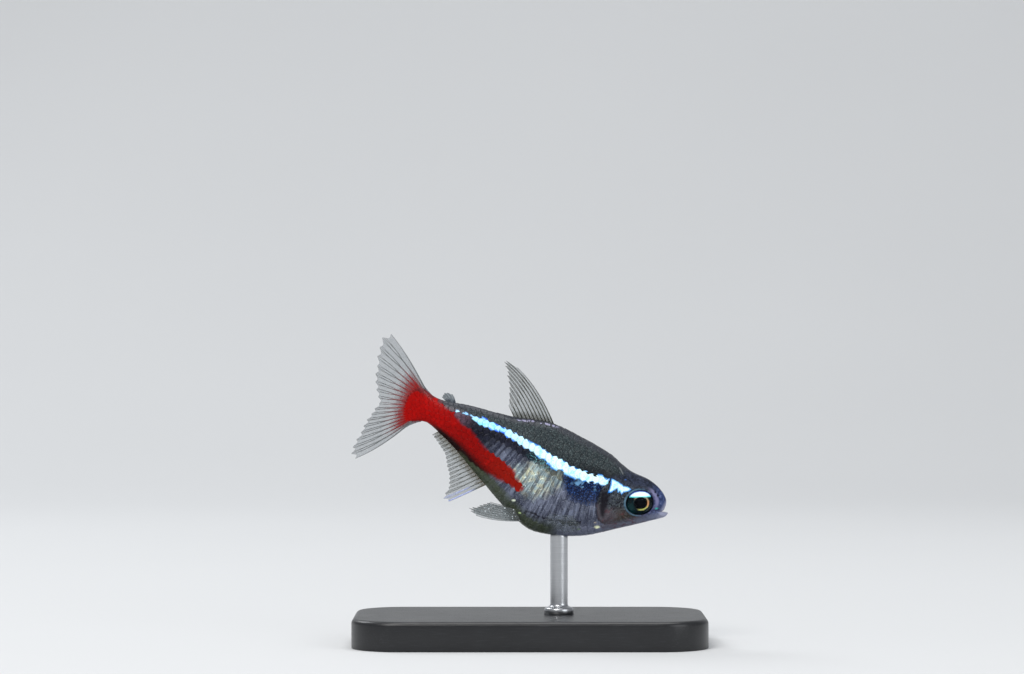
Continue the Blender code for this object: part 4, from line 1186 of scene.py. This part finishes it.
def add_scales(side, name, draw):
    """The scales of one flank, thin and overlapping like tiles, joined into one piece."""
    roots = scale_roots(side, draw)
    count = len(roots)
    behind0, reach0, pitch, _ = (column[:, None] for column in roots.T)
    grid = np.meshgrid(np.linspace(0, 1, SCALE_ALONG), np.linspace(-1, 1, SCALE_ACROSS), indexing="ij")
    along, across = (line.ravel() for line in grid)
    size = draw.normal(1, SIZE_SPREAD, (count, 1))
    behind, reach = scale_places(roots, size, along, across)
    on_flank = np.minimum(behind, FLANK_END)
    top = flank_point(on_flank, reach, side)
    top[:, :, 0] -= behind - on_flank
    normal = flank_normal(on_flank, reach, side)
    tilt = SCALE_TILT * (1 - 0.5 * rise(behind0, *SCALES_FLATTEN)) + draw.normal(0, TILT_SPREAD, (count, 1))
    lift = tilt * along**0.9 + SCALE_DOME * (1 - across**2) - SKIN_INSET - SCALE_ROOT_DEPTH
    layers = [top + normal * (lift - down)[:, :, None] for down in (0, SCALE_THICKNESS)]
    points = np.concatenate(layers, axis=1).reshape(-1, 3)
    one = np.array(plate_faces(SCALE_ALONG, SCALE_ACROSS))[:, :: -side]
    first_points = np.arange(count) * 2 * len(along)
    faces = (one[None, :, :] + first_points[:, None, None]).reshape(-1, 4).tolist()

    def on_scales(*values):
        """Three numbers at each point of the upper and the lower side of every scale."""
        values = np.stack([np.broadcast_to(value, behind.shape) for value in values], axis=-1)
        return np.concatenate([values, values], axis=1).reshape(-1, 3)

    own = np.stack([behind, top[:, :, 1], top[:, :, 2]], axis=-1)
    middle = flank_point(behind0 + SCALE_MIDDLE * pitch * SCALE_OVERLAP * size, reach0, side)
    marked = own * (1 - WHOLE_SCALE) + np.array([-1, 1, 1]) * middle * WHOLE_SCALE
    marked = on_scales(*np.moveaxis(marked, 2, 0))
    low, high = flank_reach_ends(on_flank)
    girth = np.clip(np.where(reach > 0, reach / high, -reach / low), -1, 1)
    marks = {
        "place": on_scales(*np.moveaxis(own, 2, 0)),
        "lie": on_scales(along, across, draw.random((count, 1))),
        "zones": on_scales(girth, 0, rib_place(behind, top[:, :, 2])),
        **marks_at(marked[:, 0], marked[:, 2]),
    }
    patch = np.column_stack([along - 0.5, across / 2]) * COAT_PATCH
    coat_map = (coat_places(behind0, reach0)[:, None, :] + np.concatenate([patch, patch])).reshape(-1, 2)
    replaced, finish = ("trunk", "tail"), fish_finish(name, scaly=True)
    add_piece(name, points, faces, finish, replaced, marks, coat_map=coat_map)


def coat_places(behind, reach):
    """Where scales lie on the coat's map, which unrolls the flank."""
    low, high = flank_reach_ends(behind)
    share = (reach - low) / (high - low)
    places = [COAT_MARGIN + behind / COAT_LENGTH, COAT_MARGIN + (1 - 2 * COAT_MARGIN) * share]
    return np.concatenate(places, axis=1)


def eye_bulge(share):
    """How far the eye's clear front stands out of its middle plane, by the share of the way to its edge."""
    return EYE_HALF_THICKNESS * math.sqrt(max(0, 1 - share**2))


def add_eye_piece(name, profile, side, finish, segments=72):
    """A piece of an eye, turned about the way that it looks: shares of the eye's size, and distances out."""
    middle, out, level, upright = eye_axes(side)
    turns = np.linspace(0, 2 * math.pi, segments, endpoint=False)
    round_level, round_up = (
        np.sign(way) * np.abs(way) ** (2 / EYE_SQUARENESS) for way in (np.cos(turns), np.sin(turns))
    )
    share, depth = (np.array(column)[:, None] for column in zip(*profile))
    forward, up = share * EYE_HALF_LENGTH * round_level, share * EYE_HALF_HEIGHT * round_up
    points = middle + depth[:, :, None] * out + forward[:, :, None] * level + up[:, :, None] * upright
    eye_place = np.stack([forward, up, np.broadcast_to(share, up.shape)], axis=-1).reshape(-1, 3)
    points = points.reshape(-1, 3)
    faces = ring_faces(len(profile), segments, flipped=side > 0)
    place = np.column_stack([-points[:, 0], points[:, 1], points[:, 2]])
    node = "eye_left" if side > 0 else "eye_right"
    add_piece(name, points, faces, finish, (node,), {"place": place, "eye_place": eye_place})


def add_eyes():
    """Iris, pupil and clear front of both eyes."""
    iris, pupil, cornea = iris_finish(), pupil_finish(), cornea_finish()
    iris_dome = [
        (share, eye_bulge(share) * IRIS_BULGE - IRIS_UNDER) for share in np.linspace(0.96, 0.52, 16)
    ]
    iris_profile = [*IRIS_BACK, *iris_dome, *PUPIL_HOLE]
    lens = PUPIL_SHARE + 0.02
    pupil_profile = [(PUPIL_SHARE + 0.015, 0.22)]
    pupil_profile += [
        (lens * math.cos(turn), 0.3 + 0.2 * math.sin(turn)) for turn in np.linspace(0, 1.5, 10)
    ]
    cornea_profile = [(0.99, -0.04)]
    cornea_profile += [(share, eye_bulge(share)) for share in np.sin(np.linspace(1.42, 0.02, 26))]
    for side, name in ((-1, "right"), (1, "left")):
        add_eye_piece("iris_" + name, iris_profile, side, iris)
        add_eye_piece("pupil_" + name, pupil_profile, side, pupil)
        add_eye_piece("cornea_" + name, cornea_profile, side, cornea)


def by_ray(values, numbers):
    """A value at each ray number, or between rays, from those given for some."""
    return np.interp(numbers, list(values), list(values.values()))


def flank_reach(behind, height):
    """How far out the body's side is at a place on it."""
    middle = widest(behind)
    low = height < middle
    keel = np.where(low, belly_keel(behind), back_keel(behind))
    edge = np.where(low, belly(behind), back(behind))
    share = np.clip(np.abs((height - middle) / (edge - middle)), 0, 1)
    return half_width(behind) * np.sqrt(1 - share**2) ** keel


def fin_table(kind, side):
    """Middle points of a fin on a fine grid: rows out along the rays, eight columns to each ray."""
    fin = FINS[kind]
    last = fin["rays"] - 1
    numbers = np.linspace(0, last, last * TABLE_COLUMNS + 1)
    share = numbers / last
    aside = np.zeros(len(numbers))
    if kind == "tail_fin":
        behind = np.full(len(numbers), BODY_END - ROOT_SUNK)
        height = np.interp(share, (0, 1), fin["edge"])
    elif "heights" in fin:
        behind, height = (np.interp(share, (0, 1), fin[line]) for line in ("roots", "heights"))
        aside = side * (flank_reach(behind, height) - ROOT_SUNK / 2)
    else:
        behind = np.interp(share, (0, 1), fin["roots"])
        sunk = fin.get("sunk", ROOT_SUNK)
        height = belly(behind) + sunk if "below" in fin else back(behind) - sunk
    lengths = by_ray(fin["lengths"], numbers)
    leave, end = (np.radians(by_ray(fin[way], numbers)) for way in ("leave", "end"))
    out = np.linspace(0, 1, TABLE_ROWS)[:, None]
    angle = leave + (end - leave) * (out * lengths / lengths.max()) ** 1.5
    lean = side * math.radians(fin.get("lean", 0))
    flat = lengths * math.cos(lean) / (TABLE_ROWS - 1)
    start = np.zeros((1, len(numbers)))
    run, climb = (np.vstack([start, np.cumsum(way(angle[1:]), axis=0)]) for way in (np.cos, np.sin))
    aside = aside + lengths * math.sin(lean) * out
    grid = np.stack([behind + flat * run, aside, height + flat * climb], axis=-1)
    grid[:, :, 1] += swing(grid[:, :, 0])
    grid[:, :, 0] *= -1
    return grid, lengths


def fin_point(table, out, number):
    """Places on a fin's middle surface, from shares of the rays' length and ray numbers."""
    return read_table(table, np.asarray(out) * (TABLE_ROWS - 1), np.asarray(number) * TABLE_COLUMNS)


def fin_normals(table):
    """Which way a fin's middle surface faces, on the table's grid."""
    return unit(np.cross(np.gradient(table, axis=1), np.gradient(table, axis=0)))


def fin_sway(number, out):
    """How far a fin waves out of its middle surface."""
    return FIN_SWAY * np.sin(number * 0.9 + 1) * out**2


def add_fin_piece(name, points, faces, finish, node, out, number, lengths, rays):
    """A piece of a fin, which knows at each point how far out it is and on which ray."""
    length = np.interp(number, np.linspace(0, rays - 1, len(lengths)), lengths)
    ray_place = np.stack([out, number, out * length], axis=-1).reshape(-1, 3)
    place = points * np.array([-1, 1, 1])
    add_piece(name, points, faces, finish, node, {"place": place, "ray_place": ray_place})


def add_web(name, kind, table, lengths, ray_sizes, finish, node):
    """The thin web of a fin, pleated between its rays and scalloped along its edge."""
    rays = FINS[kind]["rays"]
    number = np.linspace(0, rays - 1, (rays - 1) * WEB_COLUMNS + 1)
    between = np.abs(np.sin(math.pi * number))
    reach = np.interp(number, np.arange(rays), ray_sizes) * (1 - WEB_SCALLOP * between**1.5)
    share = np.linspace(0, 1, WEB_ROWS)[:, None]
    out = share**0.9 * reach
    numbers = np.broadcast_to(number, out.shape)
    normal = fin_point(fin_normals(table), out, numbers)
    pleat = np.where(np.floor(number) % 2 == 0, 1, -1) * between * WEB_PLEAT
    off = pleat * out + fin_sway(number, out)
    middle = fin_point(table, out, numbers) + normal * off[:, :, None]
    half = normal * (WEB_HALF + (WEB_EDGE_HALF - WEB_HALF) * share)[:, :, None]
    points = np.concatenate([middle + half, middle - half]).reshape(-1, 3)
    faces = plate_faces(WEB_ROWS, len(number))
    outs, numbers = (np.concatenate([values, values]) for values in (out, numbers))
    add_fin_piece(name, points, faces, finish, node, outs, numbers, lengths, rays)


def ray_paths(fin, ray_sizes, draw):
    """Each ray's stem and branches, as shares of its length, ray numbers and thickness."""
    paths = []
    for ray, size in enumerate(ray_sizes):
        fork, second = draw.uniform(*FIRST_FORK) * size, draw.uniform(*SECOND_FORK) * size
        if ray in (0, fin["rays"] - 1) or not fin.get("forked", True):
            taper = fin.get("lead", PLAIN_TAPER) if ray == 0 else PLAIN_TAPER
            paths.append((np.linspace(0, size, PLAIN_RINGS), ray, taper))
            continue
        paths.append((np.linspace(0, fork, STEM_RINGS), ray, STEM_TAPER))
        for way in (-FIRST_SPREAD, FIRST_SPREAD):
            out = np.linspace(fork - 0.02, second, BRANCH_RINGS)
            paths.append((out, ray + way * rise(out, fork - 0.02, second), BRANCH_TAPER))
            for second_way in (-SECOND_SPREAD, SECOND_SPREAD):
                scallop = WEB_SCALLOP * math.sin(math.pi * abs(way + second_way)) ** 1.5
                out = np.linspace(second - 0.01, size * (1 - scallop), TWIG_RINGS)
                spread = way + second_way * rise(out, second, size * 1.02)
                paths.append((out, ray + spread, TWIG_TAPER))
    return [
        (out, np.broadcast_to(number, out.shape), np.linspace(*taper, len(out)))
        for out, number, taper in paths
    ]


def add_rays(name, kind, table, lengths, ray_sizes, finish, node, draw):
    """The rays of a fin: tapered rods that fork twice on their way out, joined into one piece."""
    fin = FINS[kind]
    normals = fin_normals(table)
    points, faces, outs, numbers = [], [], [], []
    turns = np.linspace(0, 2 * math.pi, RAY_SIDES, endpoint=False)[None, :, None]
    for out, number, size in ray_paths(fin, ray_sizes, draw):
        normal = unit(fin_point(normals, out, number))
        middle = fin_point(table, out, number) + normal * fin_sway(number, out)[:, None]
        across = unit(np.cross(normal, np.gradient(middle, axis=0)))
        radius = np.maximum(RAY_RADIUS * fin.get("thick", 1) * size, RAY_TIP_RADIUS)[:, None, None]
        ring = np.cos(turns) * across[:, None, :] + RAY_DEPTH * np.sin(turns) * normal[:, None, :]
        faces += ring_faces(len(out), RAY_SIDES, sum(len(part) for part in points))
        points.append((middle[:, None, :] + radius * ring).reshape(-1, 3))
        outs.append(np.repeat(out, RAY_SIDES))
        numbers.append(np.repeat(number, RAY_SIDES))
    points, outs, numbers = (np.concatenate(parts) for parts in (points, outs, numbers))
    add_fin_piece(name, points, faces, finish, node, outs, numbers, lengths, fin["rays"])


def fin_finishes():
    """The finishes of each fin's web and rays."""
    clear, grey = (92, 104, 106), (84, 94, 104)
    corners = (
        web_finish("corner_web", grey, (104, 44, 50), 1.1, 0.5),
        ray_finish("corner_rays", (150, 152, 166), (112, 58, 66), 0.9),
    )
    return {
        "dorsal_fin": (
            web_finish("dorsal_web", clear, (70, 74, 66), 1.8),
            ray_finish("dorsal_rays", (66, 66, 52), (48, 50, 42), 2),
        ),
        "adipose_fin": (
            web_finish("adipose_web", grey, (60, 66, 76), 0.8, 0.55),
            ray_finish("adipose_rays", grey, grey, 1),
        ),
        "anal_fin": (
            web_finish("anal_web", clear, (90, 86, 70), 1.6),
            ray_finish("anal_rays", (110, 114, 112), (96, 90, 76), 1.5, (178, 188, 232)),
        ),
        "tail_fin": (
            web_finish("tail_web", grey, (140, 12, 9), 3.0, at_root=0.62, middle_ray=9),
            ray_finish("tail_rays", (104, 108, 112), (150, 8, 5), 4, middle_ray=9),
        ),
        "pectoral_fin": (
            web_finish("pectoral_web", clear, clear, 1, 0.08, at_root=0.1),
            ray_finish("pectoral_rays", (146, 154, 162), clear, 1, firm=0.4),
        ),
        "pelvic_fin": (
            web_finish("pelvic_web", clear, (90, 98, 100), 2, freckles=PALE_FRECKLES),
            ray_finish("pelvic_rays", (130, 136, 140), (90, 92, 88), 1.5),
        ),
        "tail_corner_top": corners,
        "tail_corner_low": corners,
    }


def add_fins(draw):
    """Webs and rays of all fins."""
    finishes = fin_finishes()
    for kind, fin in FINS.items():
        web, bones = finishes[kind]
        for side, ending in ((-1, "_right"), (1, "_left")) if "heights" in fin else ((1, ""),):
            table, lengths = fin_table(kind, side)
            sizes = np.clip(draw.normal(0.985, 0.012, fin["rays"]), 0.95, 1)
            node = (fin.get("node", kind) + ending,)
            add_web(f"{kind}_web{ending}", kind, table, lengths, sizes, web, node)
            add_rays(f"{kind}_rays{ending}", kind, table, lengths, sizes, bones, node, draw)


def belly_above(x, y):
    """The height at which the belly lies over a place on the base, in millimetres."""
    to_fish = POSE.inverted()
    low, high = (BASE_TOP + BELLY_ABOVE_BASE + off for off in BELLY_SEARCH)
    for _ in range(SEARCH_STEPS):
        middle = (low + high) / 2
        place = to_fish @ (Vector((x, y, middle)) * MM) / MM
        behind = -place.x
        reach = min((abs(place.y) / half_width(behind)) ** (1 / belly_keel(behind)), 1)
        skin = widest(behind) + (belly(behind) - widest(behind)) * math.sqrt(1 - reach**2)
        low, high = (middle, high) if place.z < skin else (low, middle)
    return low


def add_rod():
    """The rod: a collar on the base, a brushed shaft, and a top shaped to the belly."""
    turns = np.linspace(0, 2 * math.pi, ROD_SIDES, endpoint=False)
    circle = [(math.cos(turn), math.sin(turn)) for turn in turns]
    collar = [*COLLAR, (ROD_RADIUS, COLLAR_TOP), (ROD_RADIUS, COLLAR_TOP + 0.15)]
    points = [
        (ROD_X + radius * x, radius * y, BASE_TOP + height) for radius, height in collar for x, y in circle
    ]
    for share, sunk in ROD_TOP:
        radius = ROD_RADIUS * share
        for x, y in ((ROD_X + radius * x, radius * y) for x, y in circle):
            points.append((x, y, belly_above(x, y) - sunk))
    faces = ring_faces(len(collar) + len(ROD_TOP), ROD_SIDES)
    add_piece("rod_and_collar", points, faces, steel_finish(), ("stand_rod",), pose=UPRIGHT)


def base_outline(inset):
    """Points round the base, drawn in from its outline by a distance."""
    across, deep = BASE_HIGH.x / MM - BASE_CORNER, BASE_HIGH.y / MM - BASE_CORNER
    radius = BASE_CORNER - inset
    points = []
    for turn, (x, y) in enumerate(((across, deep), (-across, deep), (-across, -deep), (across, -deep))):
        for angle in np.linspace(turn, turn + 1, 17) * math.pi / 2:
            points.append((x + radius * math.cos(angle), y + radius * math.sin(angle)))
    return points


def add_base():
    """The base: a black acrylic plate with round corners and a rounded upper edge."""
    profile = [(0.4, 0), (0.1, 0), (0.03, 0.03), (0, 0.1), (0, BASE_TOP - BASE_EDGE_ROUND)]
    profile += [
        (BASE_EDGE_ROUND * (1 - math.cos(turn)), BASE_TOP - BASE_EDGE_ROUND * (1 - math.sin(turn)))
        for turn in np.linspace(0.15, math.pi / 2, 9)
    ]
    profile.append((BASE_EDGE_ROUND + 0.3, BASE_TOP))
    points = [(x, y, height) for inset, height in profile for x, y in base_outline(inset)]
    faces = ring_faces(len(profile), len(base_outline(0)))
    add_piece("base_plate", points, faces, acrylic_finish(), ("stand_base",), pose=UPRIGHT)


def add_floor():
    """A pale floor that curves up behind the part."""
    paint = Paint("pale_floor")
    cloud = paint.speckle(paint.node("TexCoord", output=3), 6, 2, 0.5)
    colour = paint.mix(cloud, (0.6, 0.61, 0.62, 1), (0.64, 0.65, 0.66, 1))
    curve = [(-FLOOR_REACH, 0), (0, 0), (FLOOR_DEPTH, 0)]
    curve += [
        (FLOOR_DEPTH + WALL_BEND * math.sin(turn), WALL_BEND * (1 - math.cos(turn)))
        for turn in np.linspace(0.1, math.pi / 2, 16)
    ]
    curve.append((FLOOR_DEPTH + WALL_BEND, WALL_HEIGHT))
    points = [(x, y, z) for y, z in curve for x in (-FLOOR_REACH, FLOOR_REACH)]
    mesh = bpy.data.meshes.new("studio_floor")
    mesh.from_pydata(points, [], grid_faces(len(curve), 2))
    mesh.shade_smooth()
    mesh.materials.append(paint.surface(Base_Color=colour, Roughness=0.75, Specular_IOR_Level=0.2))
    floor = bpy.data.objects.new("studio_floor", mesh)
    bpy.context.scene.collection.objects.link(floor)


def add_light():
    """Soft lamps all round the part, and a weak even light from everywhere."""
    scene = bpy.context.scene
    for name, place, size, watts, colour in LAMPS:
        light = bpy.data.lights.new(name, "AREA")
        light.shape, light.size, light.energy, light.color = "DISK", size, watts, colour
        lamp = bpy.data.objects.new(name, light)
        lamp.location = place
        lamp.rotation_euler = (LAMPS_AIM - Vector(place)).to_track_quat("-Z", "Y").to_euler()
        scene.collection.objects.link(lamp)
    world = bpy.data.worlds.new("studio_air")
    world.use_nodes = True
    air = world.node_tree.nodes["Background"].inputs
    air["Color"].default_value, air["Strength"].default_value = AIR_COLOUR, AIR_STRENGTH
    scene.world = world


def add_camera():
    """The photo's view of the fish."""
    scene = bpy.context.scene
    camera = bpy.data.cameras.new("photo_view")
    camera.sensor_width = SENSOR_WIDTH
    camera.lens = SENSOR_WIDTH * CAMERA_DISTANCE * PIXELS_PER_MM / PHOTO_WIDTH
    camera.clip_start = 0.01
    viewer = bpy.data.objects.new("photo_view", camera)
    across = SNOUT_PLACE[0] + (VIEW_MIDDLE_PIXEL[0] - SNOUT_PIXEL[0]) / PIXELS_PER_MM
    up = SNOUT_PLACE[1] + (SNOUT_PIXEL[1] - VIEW_MIDDLE_PIXEL[1]) / PIXELS_PER_MM
    viewer.location = Vector((across, -CAMERA_DISTANCE, up)) * MM
    viewer.rotation_euler = (math.pi / 2, 0, 0)
    scene.collection.objects.link(viewer)
    scene.camera = viewer
    scene.view_settings.view_transform = "Standard"


add_skin()
draw = np.random.default_rng(7)
add_scales(-1, "scales_right", draw)
add_scales(1, "scales_left", draw)
add_eyes()
add_fins(draw)
add_rod()
add_base()
add_floor()
add_light()
add_camera()
